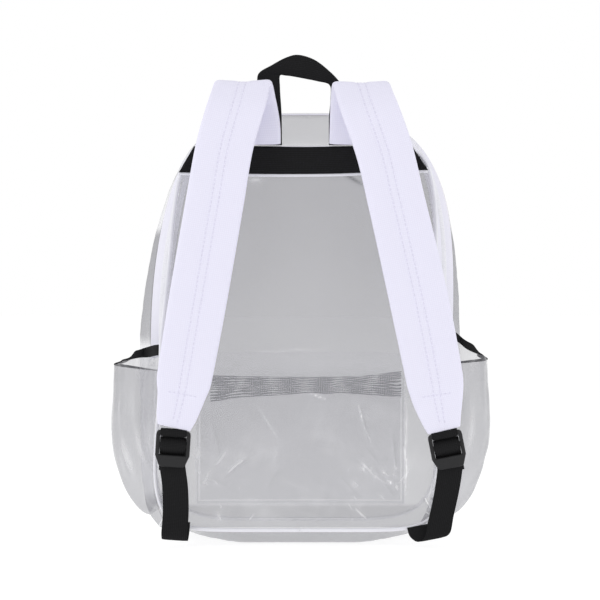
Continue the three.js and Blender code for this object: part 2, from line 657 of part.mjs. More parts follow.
// Zip slider: a block astride the chain, joined to a pull with a hole, lying on the tape.
function slider() {
  const { length, width, height } = SLIDER;
  const block = new THREE.BoxGeometry(length, width, height).translate(0, 0, height / 2);
  const tip = PULL.width / 4;
  const tab = new THREE.Shape();
  tab.moveTo(0, -PULL.width / 2);
  tab.lineTo(PULL.length, -tip);
  tab.absarc(PULL.length, 0, tip, -Math.PI / 2, Math.PI / 2);
  tab.lineTo(0, PULL.width / 2);
  tab.holes.push(new THREE.Path().absarc(PULL.length - PULL.hole, 0, PULL.hole / 2, 0, 2 * Math.PI));
  const flatPull = new THREE.ExtrudeGeometry(tab, { depth: PULL.thickness, bevelEnabled: false });
  return join(block, flatPull.translate(0, 0, height - PULL.thickness - GAP));
}

const sliderStation = (ZIP_REAR + ZIP_FRONT) / 2;
const sliderOut = bodyNormal(SLIDER.rib, sliderStation);
const sliderAlong = bodyPoint(SLIDER.rib - 0.5, sliderStation);
sliderAlong.sub(bodyPoint(SLIDER.rib + 0.5, sliderStation));
sliderAlong.addScaledVector(sliderOut, -sliderAlong.dot(sliderOut)).normalize();
const sliderAcross = sliderOut.clone().cross(sliderAlong);
const sliderPiece = addPiece('zip_slider', slider(), sliderMetal);
sliderPiece.applyMatrix4(new THREE.Matrix4().makeBasis(sliderAlong, sliderAcross, sliderOut));
sliderPiece.position.copy(bodyPoint(SLIDER.rib, sliderStation));
sliderPiece.position.addScaledVector(sliderOut, ZIP_CHAIN.height + CLEARANCE);

export default bag;
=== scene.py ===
# %% [markdown]
# # A clear film backpack
# The bag is a box of clear PVC film with a zip over its arch, two white padded straps, and black
# webbing wherever a hand or a buckle pulls. Its solids are already packed as a frame in metres.
# This lesson dresses them: thin film that bends the light, quilted straps, ribbed webbing.
# The frame is loaded first, and the dressed bag has to stay its size.

import math

import bmesh
import bpy
import numpy as np
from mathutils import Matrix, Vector
from mathutils.bvhtree import BVHTree


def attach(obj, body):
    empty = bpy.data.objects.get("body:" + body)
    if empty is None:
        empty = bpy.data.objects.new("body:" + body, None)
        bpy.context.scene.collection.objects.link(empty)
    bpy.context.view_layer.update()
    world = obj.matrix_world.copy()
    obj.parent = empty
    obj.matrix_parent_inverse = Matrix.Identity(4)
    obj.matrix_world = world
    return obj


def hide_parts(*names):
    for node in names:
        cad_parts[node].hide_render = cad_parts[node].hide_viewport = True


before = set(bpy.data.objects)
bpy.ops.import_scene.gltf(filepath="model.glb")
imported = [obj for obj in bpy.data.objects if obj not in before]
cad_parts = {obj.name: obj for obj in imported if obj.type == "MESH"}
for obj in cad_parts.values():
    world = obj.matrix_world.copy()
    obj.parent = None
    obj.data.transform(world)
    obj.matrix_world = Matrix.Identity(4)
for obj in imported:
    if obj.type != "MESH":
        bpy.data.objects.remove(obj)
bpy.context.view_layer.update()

# %% [markdown]
# ## Camera
# The bag is seen squarely from the side that lies on a back, from so far away that its sides hardly
# converge. A long lens does the same: the angle is worked out from the width that just fills the
# picture at the back panel. Depth of field stays off, as a packshot is sharp all over.

# %% Camera
MM = 0.001
BASE_Y = 72.0
EYE_AWAY = 2200.0
EYE_HEIGHT = 247.0
PICTURE_WIDTH = 600.0

lens = bpy.data.cameras.new("camera")
lens.angle = 2 * math.atan(PICTURE_WIDTH / 2 / EYE_AWAY)
camera = bpy.data.objects.new("camera", lens)
camera.location = (0, -(BASE_Y + EYE_AWAY) * MM, EYE_HEIGHT * MM)
camera.rotation_euler = (math.pi / 2, 0, 0)
bpy.context.scene.collection.objects.link(camera)
bpy.context.scene.camera = camera
print("lens angle in degrees:", round(math.degrees(lens.angle), 2))

# %% [markdown]
# ## Small helpers
# Colours are easiest to read as the hex values of a paint program, but shaders want linear light,
# so one function turns one into the other. Another adds a shader node: values go straight on its
# sockets, and a socket of another node is linked. With these two, a material is a short list.

# %% Colour and node helpers
def linear(hex_colour):
    """The linear RGBA of an sRGB colour such as "#e8e6f4"."""
    channels = [int(hex_colour[at:at + 2], 16) / 255 for at in (1, 3, 5)]
    return [c / 12.92 if c <= 0.04045 else ((c + 0.055) / 1.055) ** 2.4 for c in channels] + [1.0]


def add(tree, kind, inputs, **settings):
    """Adds a node with its settings; an input is a value, or another node's socket to link."""
    made = tree.nodes.new(kind)
    for name, value in settings.items():
        setattr(made, name, value)
    for name, value in inputs.items():
        if isinstance(value, bpy.types.NodeSocket):
            tree.links.new(value, made.inputs[name])
        else:
            made.inputs[name].default_value = value
    return made


def new_material(name):
    """An empty material, its node tree and the socket that its surface goes into."""
    material = bpy.data.materials.new(name)
    material.use_nodes = True
    material.node_tree.nodes.clear()
    output = material.node_tree.nodes.new("ShaderNodeOutputMaterial")
    return material, material.node_tree, output.inputs["Surface"]


def wave_scale(pitch):
    """The scale at which a Wave texture repeats once in pitch, in the units of its coordinates."""
    return math.pi / 10 / pitch


print("mid grey #808080 is", round(linear("#808080")[0], 3), "in linear light")

# %% [markdown]
# ## Light and floor
# White goods on white need light from everywhere: a bright world gives it, and a few large soft
# lamps add a little direction. The floor is a pale light table that glows faintly, so the picture
# stays white below the bag and the film is lit from behind, as on a product table. Film stacks many
# see-through layers, so rays may pass more of them than usual.

# %% Light and floor
WORLD_LIGHT = 0.62
WORLD_SEEN = 1.0
LAMPS = [
    # name, place in metres, size in metres, watts
    ("key_lamp", (-1.5, -2.0, 1.7), 1.6, 14),
    ("fill_lamp", (1.7, -1.6, 0.9), 1.4, 5),
    ("top_lamp", (0.0, 0.3, 2.2), 1.6, 6),
    ("left_lamp", (-1.9, -0.1, 0.7), 1.2, 5),
    ("right_lamp", (1.9, -0.1, 0.7), 1.2, 5),
]
AIM = Vector((0, 0, 0.22))

world = bpy.data.worlds.new("white_room")
world.use_nodes = True
bpy.context.scene.world = world
sky = world.node_tree
sky.nodes.clear()
seen = add(sky, "ShaderNodeBackground", {"Color": (1, 1, 1, 1), "Strength": WORLD_SEEN})
lit = add(sky, "ShaderNodeBackground", {"Color": (1, 1, 1, 1), "Strength": WORLD_LIGHT})
rays = add(sky, "ShaderNodeLightPath", {})
mixed = add(sky, "ShaderNodeMixShader", {
    0: rays.outputs["Is Camera Ray"], 1: lit.outputs[0], 2: seen.outputs[0],
})
add(sky, "ShaderNodeOutputWorld", {"Surface": mixed.outputs[0]})

for name, spot, size, watts in LAMPS:
    lamp_data = bpy.data.lights.new(name, "AREA")
    lamp_data.size = size
    lamp_data.energy = watts
    lamp = bpy.data.objects.new(name, lamp_data)
    lamp.location = spot
    lamp.rotation_euler = (AIM - Vector(spot)).to_track_quat("-Z", "Y").to_euler()
    bpy.context.scene.collection.objects.link(lamp)

table_paper, tree, surface = new_material("pale_table_paper")
paper = add(tree, "ShaderNodeBsdfPrincipled", {
    "Base Color": linear("#a0a0a0"), "Roughness": 1.0, "Specular IOR Level": 0.0,
    "Emission Color": (1, 1, 1, 1), "Emission Strength": 0.8,
})
tree.links.new(paper.outputs[0], surface)
FLOOR_REACH = 30.0
floor_mesh = bpy.data.meshes.new("floor")
floor_corners = [(-FLOOR_REACH, -FLOOR_REACH, 0), (FLOOR_REACH, -FLOOR_REACH, 0)]
floor_corners += [(FLOOR_REACH, FLOOR_REACH, 0), (-FLOOR_REACH, FLOOR_REACH, 0)]
floor_mesh.from_pydata(floor_corners, [], [(0, 1, 2, 3)])
floor_mesh.materials.append(table_paper)
floor = bpy.data.objects.new("floor", floor_mesh)
bpy.context.scene.collection.objects.link(floor)

FILM_LAYERS = 40
bpy.context.scene.cycles.transparent_max_bounces = FILM_LAYERS
bpy.context.scene.view_settings.view_transform = "Standard"
print("lamps:", len(LAMPS), "see-through layers allowed:", FILM_LAYERS)

# %% [markdown]
# ## Clear PVC film
# Calendered PVC film, about 0.4 mm thick. Looked through squarely it is a grey veil; looked along,
# it turns opaque, which draws every fold and edge as a dark line. Glass shaders do this with many
# slow bounces. Mixing a transparent and a glossy shader by the viewing angle looks the same and
# stays clean. Veil and edges are fainter near the pale table, which lights the film from below.
# Film that was creased turns milky, and film folded over looks dark: each sheet carries that wear as
# a number from -1, folded over, to 1, milky. The same number carries painted light too: painted
# glints and reflections towards 1, and painted shade along seams, folds and the dark flanks of creases
# towards -1. A weld squeezes film clear: its milk is below zero.

# %% Clear PVC film
FILM_EDGE = 0.45
FILM_EDGE_POWER = 2.6
LOW_EDGE = 0.2
# Veil added at -1: folded film, and painted shade
FOLD_AND_SHADE_VEIL = 0.5
CLOUD_SIZE = 0.09
CLOUD_SHARE = 0.35
VEIL_HEIGHTS = (0.05, 0.40)
WAVE_SIZE = 0.06


def clear_film(name, veil, tint, milk_and_sheen, edge=FILM_EDGE):
    """Clear film: its veil at the bottom and top, its tint, and what wear, painted light and shade, and edges
    add to the veil.
    """
    material, tree, surface = new_material(name)
    spot = add(tree, "ShaderNodeTexCoord", {}).outputs["Object"]
    cloud = add(tree, "ShaderNodeTexNoise", {"Vector": spot, "Scale": 1 / CLOUD_SIZE, "Detail": 3.0})
    height = add(tree, "ShaderNodeSeparateXYZ", {"Vector": spot}).outputs["Z"]
    rise = add(tree, "ShaderNodeMapRange", {
        "Value": height, "From Min": VEIL_HEIGHTS[0], "From Max": VEIL_HEIGHTS[1], "To Max": 1 - CLOUD_SHARE,
    })
    patch = add(tree, "ShaderNodeMath", {
        0: cloud.outputs["Fac"], 1: CLOUD_SHARE, 2: rise.outputs[0],
    }, operation="MULTIPLY_ADD")
    plain = add(tree, "ShaderNodeMapRange", {"Value": patch.outputs[0], "To Min": veil[0], "To Max": veil[1]})
    facing = add(tree, "ShaderNodeLayerWeight", {"Blend": 0.5}).outputs["Facing"]
    grazing = add(tree, "ShaderNodeMath", {0: facing, 1: FILM_EDGE_POWER}, operation="POWER")
    lined = add(tree, "ShaderNodeMapRange", {
        "Value": patch.outputs[0], "To Min": LOW_EDGE * edge, "To Max": edge,
    })
    edged = add(tree, "ShaderNodeMath", {
        0: grazing.outputs[0], 1: lined.outputs[0], 2: plain.outputs[0],
    }, operation="MULTIPLY_ADD")
    # The wear attribute also holds painted light: painted highlights above zero, painted shade below.
    wear_and_light = add(tree, "ShaderNodeAttribute", {}, attribute_name="wear_and_light").outputs["Fac"]
    milk_and_sheen_veil = add(tree, "ShaderNodeMapRange", {"Value": wear_and_light, "To Max": milk_and_sheen})
    fold_and_shade_veil = add(tree, "ShaderNodeMapRange", {"Value": wear_and_light, "From Max": -1.0, "To Max": FOLD_AND_SHADE_VEIL})
    wear_and_light_veil = add(tree, "ShaderNodeMath", {0: milk_and_sheen_veil.outputs[0], 1: fold_and_shade_veil.outputs[0]}, operation="ADD")
    opacity = add(tree, "ShaderNodeMath", {
        0: wear_and_light_veil.outputs[0], 1: edged.outputs[0],
    }, operation="ADD", use_clamp=True)
    # Painted tone: dark painted shade at -1, the tint at 0, and white for milk and painted highlights from
    # 0.4 up.
    level = add(tree, "ShaderNodeMapRange", {"Value": wear_and_light, "From Min": -1.0, "From Max": 1.0})
    tone = add(tree, "ShaderNodeValToRGB", {"Fac": level.outputs[0]})
    tone.color_ramp.elements[0].color = linear("#3c3b40")
    tone.color_ramp.elements[1].position = 0.7
    tone.color_ramp.elements[1].color = linear("#fafafc")
    tone.color_ramp.elements.new(0.5).color = linear(tint)
    waves = add(tree, "ShaderNodeTexNoise", {"Vector": spot, "Scale": 1 / WAVE_SIZE, "Detail": 0.0})
    bump = add(tree, "ShaderNodeBump", {"Strength": 0.12, "Distance": 0.004, "Height": waves.outputs["Fac"]})
    gloss = add(tree, "ShaderNodeBsdfPrincipled", {
        "Base Color": tone.outputs[0], "Roughness": 0.12, "IOR": 1.54, "Normal": bump.outputs[0],
    })
    clear = add(tree, "ShaderNodeBsdfTransparent", {"Color": linear("#fdfdfe")})
    blend = add(tree, "ShaderNodeMixShader", {
        0: opacity.outputs[0], 1: clear.outputs[0], 2: gloss.outputs[0],
    })
    tree.links.new(blend.outputs[0], surface)
    return material


film = clear_film("clear_pvc_film", (0.285, 0.46), "#808086", 0.6)
thin_film = clear_film("thin_clear_pvc_film", (0.08, 0.16), "#b8b8bc", -0.08)
side_film = clear_film("side_clear_pvc_film", (0.285, 0.46), "#808086", -0.26)
welded_film = clear_film("welded_clear_pvc_film", (0.16, 0.16), "#a0a0a6", -0.16)
print("films:", film.name, thin_film.name, side_film.name, welded_film.name)

# %% [markdown]
# ## White cloth and white edges
# The straps are polyester cloth in a plain weave, matt and slightly lilac in this light. Threads of
# half a millimetre would be lost in the picture, so the weave is drawn at 1 mm. The zip's fabric
# is a fine twill, whose ribs are too fine to show, so it is drawn with the same weave. The seams are
# covered with a soft plastic piping, white at the back and clear in front. The cloths use a map in
# millimetres that lies along each strip, so the threads follow it round every bend.

# %% White woven cloth
STRAP_THREAD = 1.0
ZIP_THREAD = 1.0
SLUB_LENGTH = 20.0
SLUB_SHARE = 0.35


def woven(name, thread, dark, light, roughness, depth):
    """Plain woven cloth: threads that pass over and under at right angles, from a map in millimetres."""
    material, tree, surface = new_material(name)
    flat = add(tree, "ShaderNodeUVMap", {}, uv_map="cloth_mm").outputs["UV"]
    threads = {"Vector": flat, "Scale": wave_scale(2 * thread), "Distortion": 0.6}
    warp = add(tree, "ShaderNodeTexWave", threads, bands_direction="X")
    weft = add(tree, "ShaderNodeTexWave", threads, bands_direction="Y")
    over = add(tree, "ShaderNodeMath", {0: warp.outputs["Fac"], 1: weft.outputs["Fac"]}, operation="MULTIPLY")
    slub = add(tree, "ShaderNodeTexNoise", {"Vector": flat, "Scale": 1 / SLUB_LENGTH, "Detail": 4.0})
    shade = add(tree, "ShaderNodeMath", {
        0: slub.outputs["Fac"], 1: SLUB_SHARE, 2: over.outputs[0],
    }, operation="MULTIPLY_ADD")
    colour = add(tree, "ShaderNodeValToRGB", {"Fac": shade.outputs[0]})
    colour.color_ramp.elements[0].color = linear(dark)
    colour.color_ramp.elements[1].color = linear(light)
    bump = add(tree, "ShaderNodeBump", {"Strength": 0.3, "Distance": depth, "Height": over.outputs[0]})
    cloth = add(tree, "ShaderNodeBsdfPrincipled", {
        "Base Color": colour.outputs[0], "Roughness": roughness, "IOR": 1.5,
        "Sheen Weight": 0.1, "Normal": bump.outputs[0],
    })
    tree.links.new(cloth.outputs[0], surface)
    return material


strap_cloth = woven("white_polyester_cloth", STRAP_THREAD, "#e3e1f2", "#eae9f8", 0.8, 0.0002)
zip_cloth = woven("white_zip_twill", ZIP_THREAD, "#dfdeea", "#eeedf8", 0.75, 0.00015)
print("white cloth:", strap_cloth.name, zip_cloth.name)

# %% Piping
# Extruded soft PVC: smooth, a little glossy, with a faint unevenness along its run.
GRIME_SIZE = 0.03

piping, tree, surface = new_material("white_pvc_piping")
spot = add(tree, "ShaderNodeTexCoord", {}).outputs["Object"]
grime = add(tree, "ShaderNodeTexNoise", {"Vector": spot, "Scale": 1 / GRIME_SIZE, "Detail": 3.0})
tone = add(tree, "ShaderNodeValToRGB", {"Fac": grime.outputs["Fac"]})
tone.color_ramp.elements[0].color = linear("#dddde4")
tone.color_ramp.elements[1].color = linear("#f0f0f6")
skin = add(tree, "ShaderNodeBsdfPrincipled", {"Base Color": tone.outputs[0], "Roughness": 0.4, "IOR": 1.54})
tree.links.new(skin.outputs[0], surface)
clear_piping = clear_film("clear_pvc_piping", (0.03, 0.05), "#a0a0a6", 0.5, edge=0.0)
print("piping:", piping.name, clear_piping.name)

# %% [markdown]
# ## Black webbing, net, plastic and metal
# Polypropylene webbing has fat ribs along it, crossed by finer picks, and is matt enough to swallow
# light. The net is knitted nylon: round strands with open holes between, so its shader is
# see-through wherever no strand passes. Buckles are moulded acetal with a fine spark-eroded grain,
# and the zip slider is cast zinc under a thin nickel plate.

# %% Black webbing
RIB_PITCH = 1.9
PICK_PITCH = 1.4

webbing, tree, surface = new_material("black_polypropylene_webbing")
flat = add(tree, "ShaderNodeUVMap", {}, uv_map="cloth_mm").outputs["UV"]
ribs = add(tree, "ShaderNodeTexWave", {"Vector": flat, "Scale": wave_scale(RIB_PITCH)}, bands_direction="X")
picks = add(tree, "ShaderNodeTexWave", {
    "Vector": flat, "Scale": wave_scale(PICK_PITCH), "Distortion": 1.5,
}, bands_direction="Y")
twist = add(tree, "ShaderNodeMath", {0: ribs.outputs["Fac"], 1: picks.outputs["Fac"]}, operation="MULTIPLY")
tone = add(tree, "ShaderNodeValToRGB", {"Fac": twist.outputs[0]})
tone.color_ramp.elements[0].color = linear("#131314")
tone.color_ramp.elements[1].color = linear("#222224")
bump = add(tree, "ShaderNodeBump", {"Strength": 0.6, "Distance": 0.0004, "Height": twist.outputs[0]})
yarn = add(tree, "ShaderNodeBsdfPrincipled", {
    "Base Color": tone.outputs[0], "Roughness": 0.75, "IOR": 1.49, "Specular IOR Level": 0.15,
    "Normal": bump.outputs[0],
})
tree.links.new(yarn.outputs[0], surface)
print("webbing:", webbing.name, "ribs every", RIB_PITCH, "mm")

# %% Grey nylon net
# The holes of such a net are about 1.5 mm; they are drawn at 3 mm so that they show. The strands
# that run along the strip are the thicker ones; two sets of them cross at a small angle and wander,
# because the net is gathered.
NET_PITCH = 3.0
CROSS_PITCH = 2.4
STRAND_TURNS = (0.05, -0.035)
STRAND_COVER = (0.02, 0.72)
STRAND_EDGES = (0.55, 1.1)
CROSS_SHARE = 0.3

net, tree, surface = new_material("grey_nylon_net")
flat = add(tree, "ShaderNodeUVMap", {}, uv_map="cloth_mm").outputs["UV"]
turned = [add(tree, "ShaderNodeMapping", {"Vector": flat, "Rotation": (0, 0, turn)}) for turn in STRAND_TURNS]
runs = [add(tree, "ShaderNodeTexWave", {
    "Vector": turn.outputs[0], "Scale": wave_scale(NET_PITCH), "Distortion": 6.0, "Detail Scale": 0.4,
}, bands_direction="Y") for turn in turned]
along = add(tree, "ShaderNodeMath", {
    0: runs[0].outputs["Fac"], 1: runs[1].outputs["Fac"],
}, operation="MAXIMUM")
across = add(tree, "ShaderNodeTexWave", {
    "Vector": flat, "Scale": wave_scale(CROSS_PITCH), "Distortion": 2.0,
}, bands_direction="X")
strand = add(tree, "ShaderNodeMath", {
    0: across.outputs["Fac"], 1: CROSS_SHARE, 2: along.outputs[0],
}, operation="MULTIPLY_ADD")
cover = add(tree, "ShaderNodeMapRange", {
    "Value": strand.outputs[0], "From Min": STRAND_EDGES[0], "From Max": STRAND_EDGES[1],
    "To Min": STRAND_COVER[0], "To Max": STRAND_COVER[1],
})
tone = add(tree, "ShaderNodeValToRGB", {"Fac": strand.outputs[0]})
tone.color_ramp.elements[0].color = linear("#6a6a70")
tone.color_ramp.elements[1].color = linear("#5a5a60")
thread = add(tree, "ShaderNodeBsdfPrincipled", {"Base Color": tone.outputs[0], "Roughness": 0.6, "IOR": 1.53})
hole = add(tree, "ShaderNodeBsdfTransparent", {})
knit = add(tree, "ShaderNodeMixShader", {0: cover.outputs[0], 1: hole.outputs[0], 2: thread.outputs[0]})
tree.links.new(knit.outputs[0], surface)
print("net:", net.name)

# %% Black acetal and plated zinc
# A spark-eroded grain is about 0.2 mm; it is drawn at 1.2 mm so that it shows.
GRAIN_SIZE = 0.0012
PLATE_SCUFF = 0.003

acetal, tree, surface = new_material("black_moulded_acetal")
spot = add(tree, "ShaderNodeTexCoord", {}).outputs["Object"]
grain = add(tree, "ShaderNodeTexNoise", {"Vector": spot, "Scale": 1 / GRAIN_SIZE, "Detail": 2.0})
rub = add(tree, "ShaderNodeMapRange", {"Value": grain.outputs["Fac"], "To Min": 0.34, "To Max": 0.52})
tone = add(tree, "ShaderNodeValToRGB", {"Fac": grain.outputs["Fac"]})
tone.color_ramp.elements[0].color = linear("#151516")
tone.color_ramp.elements[1].color = linear("#262628")
bump = add(tree, "ShaderNodeBump", {"Strength": 0.2, "Distance": 0.0002, "Height": grain.outputs["Fac"]})
mould = add(tree, "ShaderNodeBsdfPrincipled", {
    "Base Color": tone.outputs[0], "Roughness": rub.outputs[0], "IOR": 1.48, "Specular IOR Level": 0.3,
    "Normal": bump.outputs[0],
})
tree.links.new(mould.outputs[0], surface)

plated, tree, surface = new_material("nickel_plated_zinc")
spot = add(tree, "ShaderNodeTexCoord", {}).outputs["Object"]
scuff = add(tree, "ShaderNodeTexNoise", {"Vector": spot, "Scale": 1 / PLATE_SCUFF, "Detail": 4.0})
rub = add(tree, "ShaderNodeMapRange", {"Value": scuff.outputs["Fac"], "To Min": 0.2, "To Max": 0.45})
metal = add(tree, "ShaderNodeBsdfPrincipled", {
    "Base Color": linear("#d2d2d6"), "Metallic": 1.0, "Roughness": rub.outputs[0],
})
tree.links.new(metal.outputs[0], surface)
print("hard materials:", acetal.name, plated.name)

# %% [markdown]
# ## From points to pieces
# Nearly everything here is a strip or a sheet: rows of points that become quads. One function makes
# the mesh and lays a map in millimetres over it, measured along the rows and columns, for the weave
# to follow. Sizes are written in millimetres from the back panel, and one function moves them into
# the frame. A second kind of piece is a closed sweep: rings of points with a lid at both ends.

# %% Mesh helpers
def place(points):
    """Millimetres measured from the back panel, as metres in the frame."""
    return (np.asarray(points, float) - (0, BASE_Y, 0)) * MM


def cloth_map(points, closed):
    """Distances in millimetres along the columns and rows of a grid of points."""
    ring = np.concatenate([points, points[:, :1]], 1) if closed else points
    across = np.linalg.norm(np.diff(ring, axis=1), axis=2).cumsum(1)
    across = np.concatenate([np.zeros((len(points), 1)), across], 1)
    across -= across[:, -1:] / 2
    down = np.linalg.norm(np.diff(points, axis=0), axis=2).mean(1).cumsum()
    down = np.concatenate([[0], down])
    return np.stack([across, np.broadcast_to(down[:, None], across.shape)], 2)


def grid_piece(name, points, material, closed=False):
    """A piece of quads from rows of points; closed joins each row's ends and puts lids on the stack."""
    rows, columns = points.shape[:2]
    index = np.arange(rows * columns).reshape(rows, columns)
    if closed:
        index = np.concatenate([index, index[:, :1]], 1)
    corner = [np.s_[:-1, :-1], np.s_[:-1, 1:], np.s_[1:, 1:], np.s_[1:, :-1]]
    quads = np.stack([index[at] for at in corner], 2).reshape(-1, 4)
    lids = [index[0, :columns][::-1].tolist(), index[-1, :columns].tolist()] if closed else []
    mesh = bpy.data.meshes.new(name)
    mesh.from_pydata(place(points).reshape(-1, 3).tolist(), [], quads.tolist() + lids)
    layer = mesh.uv_layers.new(name="cloth_mm")
    flat = cloth_map(points, closed)
    flat = np.stack([flat[at] for at in corner], 2).reshape(-1, 2)
    spare = np.zeros((len(mesh.loops) - len(flat), 2))
    layer.uv.foreach_set("vector", np.concatenate([flat, spare]).ravel())
    mesh.materials.append(material)
    mesh.shade_smooth()
    piece = bpy.data.objects.new(name, mesh)
    bpy.context.scene.collection.objects.link(piece)
    if closed:
        shell = bmesh.new()
        shell.from_mesh(mesh)
        bmesh.ops.recalc_face_normals(shell, faces=shell.faces)
        shell.to_mesh(mesh)
        shell.free()
    return piece


def dress(piece, slot, *nodes):
    """Lets a piece ride on the bag and hides the solids that it stands for."""
    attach(piece, "root")
    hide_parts(*nodes)
    print(piece.name, "faces:", len(piece.data.polygons), "stands for", ", ".join(nodes) or "a detail")
    return piece


def declare_sheet(piece, points):
    """States a sheet's cut: its longest row, its length down the middle and its area."""
    across = np.linalg.norm(np.diff(points, axis=1), axis=2).sum(1).max() * MM
    middle = points[:, points.shape[1] // 2]
    down = np.linalg.norm(np.diff(middle, axis=0), axis=1).sum() * MM
    area = sum(face.area for face in piece.data.polygons)
    area = min(area, across * down)
    print(piece.name, "cut from", round(across * 1000), "by", round(down * 1000), "mm,", round(area, 4), "m2")


# %% [markdown]
# ## Curves and folds
# A smooth curve through a few points is the workhorse: the bag's ribs, the straps and the handle
# all follow one. A centripetal Catmull-Rom curve passes through every point and never loops between
# two that are close. Creases in film are short ridges, sharp on top and gone at both ends.

# %% Curve and fold helpers
def smooth(points, places):
    """Points of the smooth curve through a stack of points, at places from 0 to 1."""
    points = np.asarray(points, float)
    held = np.concatenate([2 * points[:1] - points[1:2], points, 2 * points[-1:] - points[-2:-1]])
    at = np.clip(np.asarray(places, float), 0, 1) * (len(points) - 1)
    first = np.minimum(at.astype(int), len(points) - 2)
    t = (at - first).reshape((-1,) + (1,) * (points.ndim - 1))
    before, start, end, after = (held[first + step] for step in range(4))
    spans = [np.linalg.norm(b - a, axis=-1, keepdims=True) ** 0.5
             for a, b in ((before, start), (start, end), (end, after))]
    middle = np.where(spans[1] < 1e-4, 1, spans[1])
    lead = np.where(spans[0] < 1e-4, middle, spans[0])
    tail = np.where(spans[2] < 1e-4, middle, spans[2])
    leave = (start - before) / lead - (end - before) / (lead + middle) + (end - start) / middle
    arrive = (end - start) / middle - (after - start) / (middle + tail) + (after - end) / tail
    leave, arrive = leave * middle, arrive * middle
    bend = 2 * start - 2 * end + leave + arrive
    turn = -3 * start + 3 * end - 2 * leave - arrive
    return ((bend * t + turn) * t + leave) * t + start


def ease(values, low, high):
    """0 below low, 1 above high, and a smooth step between them."""
    t = np.clip((values - low) / (high - low), 0, 1)
    return t * t * (3 - 2 * t)


RIPPLE_WAVES = 7


def ripple(a, b, size, seed):
    """Slow uneven waves over a surface, about size across, between -1 and 1."""
    random = np.random.default_rng(seed)
    total = np.zeros_like(a)
    draws = random.uniform((0, 0, 0.7), (np.pi, 2 * np.pi, 1.5), (RIPPLE_WAVES, 3))
    for angle, phase, stretch in draws:
        total += np.sin(2 * np.pi * stretch * (a * np.cos(angle) + b * np.sin(angle)) / size + phase)
    return total / RIPPLE_WAVES


def ripples(a, b, rows):
    """The sum of some ripples, each a row of its height, its size and its seed."""
    return sum(height * ripple(a, b, size, seed) for height, size, seed in rows)


CREASE_END = 0.08


def crease(a, b, row):
    """A ridge along a line from (from_x, from_z) to (to_x, to_z), sharp on top."""
    from_x, from_z, to_x, to_z, width, height = row
    run_x, run_z = to_x - from_x, to_z - from_z
    t = np.clip(((a - from_x) * run_x + (b - from_z) * run_z) / (run_x ** 2 + run_z ** 2), 0, 1)
    away = np.hypot(a - from_x - t * run_x, b - from_z - t * run_z)
    fade = np.sin(np.pi * (CREASE_END + (1 - 2 * CREASE_END) * t))
    return height * fade * np.exp(-away / width)


def add_wear_and_light(piece, wear_and_light):
    """Gives every point of a sheet its wear and painted light, for the film's shader to read."""
    layer = piece.data.attributes.new("wear_and_light", "FLOAT", "POINT")
    layer.data.foreach_set("value", np.clip(wear_and_light, -1, 1).ravel())


def normals(points):
    """Unit normals of a grid of points, along rows x columns."""
    across = np.cross(np.gradient(points, axis=0), np.gradient(points, axis=1))
    return across / np.linalg.norm(across, axis=2, keepdims=True)


print("half way along a bend:", smooth([(0, 0, 0), (10, 0, 0), (10, 10, 0)], [0.5])[0])

# %% [markdown]
# ## The bag's form
# The film takes its form from five D-shaped loops, from the back seam to the front seam: narrow at
# the back panel, widest in front of the zip. Each loop is a superellipse, round above and square
# below; the back seam is drawn in at the waist, and the bag leans a little to the right. Its bottom
# stands flat in the middle and rises towards both sides. A point on the bag is then named by its
# share of the way round the loop and by its station from 0, the back seam, to 4, the front seam.

# %% Body surface
BODY_COLUMNS = "y shift half_width taper waist top bottom side arch corner".split()
BODY_ROWS = [
    (0, 0, 146, 22, 7, 399, 17, 12, 12, 8),
    (50, 2, 136, 0, 0, 436, -4, 5.4, 2.3, 6),
    (79, 2, 156.5, 0, 0, 438, -5, 3.9, 2.65, 6.5),
    (100, 0, 167, 0, 0, 437, -5, 4.5, 1.65, 7),
    (143, 0, 148, 8, 0, 408, 14, 8, 8, 6),
]
STATIONS = [dict(zip(BODY_COLUMNS, row)) for row in BODY_ROWS]
BACK, ZIP_REAR, ZIP_FRONT, FRONT = 0, 1, 2, 4
WAIST_Z, WAIST_REACH = 205, 150
LEAN, LEAN_FROM, LEAN_TO = 5.5, 200, 380
BOTTOM_RISE, RISE_FROM, RISE_TO = 9, 55, 115
FILM_LIFT = 0.4
LOOP_POINTS = 2049
RIBS = 64
BOTTOM_SHARE = 7 / RIBS


def outline(station, angles):
    """One D-shaped loop, from its lowest point towards +X and over the top."""
    up, out = np.cos(angles), np.sin(angles)
    low = up > 0
    reach = np.where(low, WAIST_Z - station["bottom"], station["top"] - WAIST_Z)
    side = np.where(low, station["corner"], station["side"])
    arch = np.where(low, station["corner"], station["arch"])
    rise = -np.sign(up) * np.abs(up) ** (2 / arch)
    z = WAIST_Z + reach * rise
    drawn_in = (1 - np.minimum(np.abs(z - WAIST_Z) / WAIST_REACH, 1) ** 2) ** 2
    half = station["half_width"] - station["taper"] * np.maximum(rise, 0) - station["waist"] * drawn_in
    x = half * np.sign(out) * np.abs(out) ** (2 / side) + station["shift"]
    return np.stack([x + LEAN * ease(z, LEAN_FROM, LEAN_TO), np.full_like(x, station["y"]), z], 1)


def loop(station, shares):
    """Points at shares of a loop's length."""
    fine = outline(station, np.linspace(0, 2 * np.pi, LOOP_POINTS))
    run = np.concatenate([[0], np.linalg.norm(np.diff(fine, axis=0), axis=1).cumsum()])
    at = np.asarray(shares) % 1 * run[-1]
    return np.stack([np.interp(at, run, fine[:, axis]) for axis in range(3)], 1)


def body(shares, stations):
    """Rows of points on the bag, one row for each station; its bottom stands flat in the middle."""
    loops = np.stack([loop(station, shares) for station in STATIONS])
    points = smooth(loops, np.asarray(stations) / FRONT)
    floor = FILM_LIFT + BOTTOM_RISE * ease(np.abs(points[..., 0]), RISE_FROM, RISE_TO)
    points[..., 2] = np.maximum(points[..., 2], floor)
    return points


widest = body(np.linspace(0, 1, 200), [3])[0, :, 0]
print("body is", round(widest.max() - widest.min()), "mm wide in front of the zip")
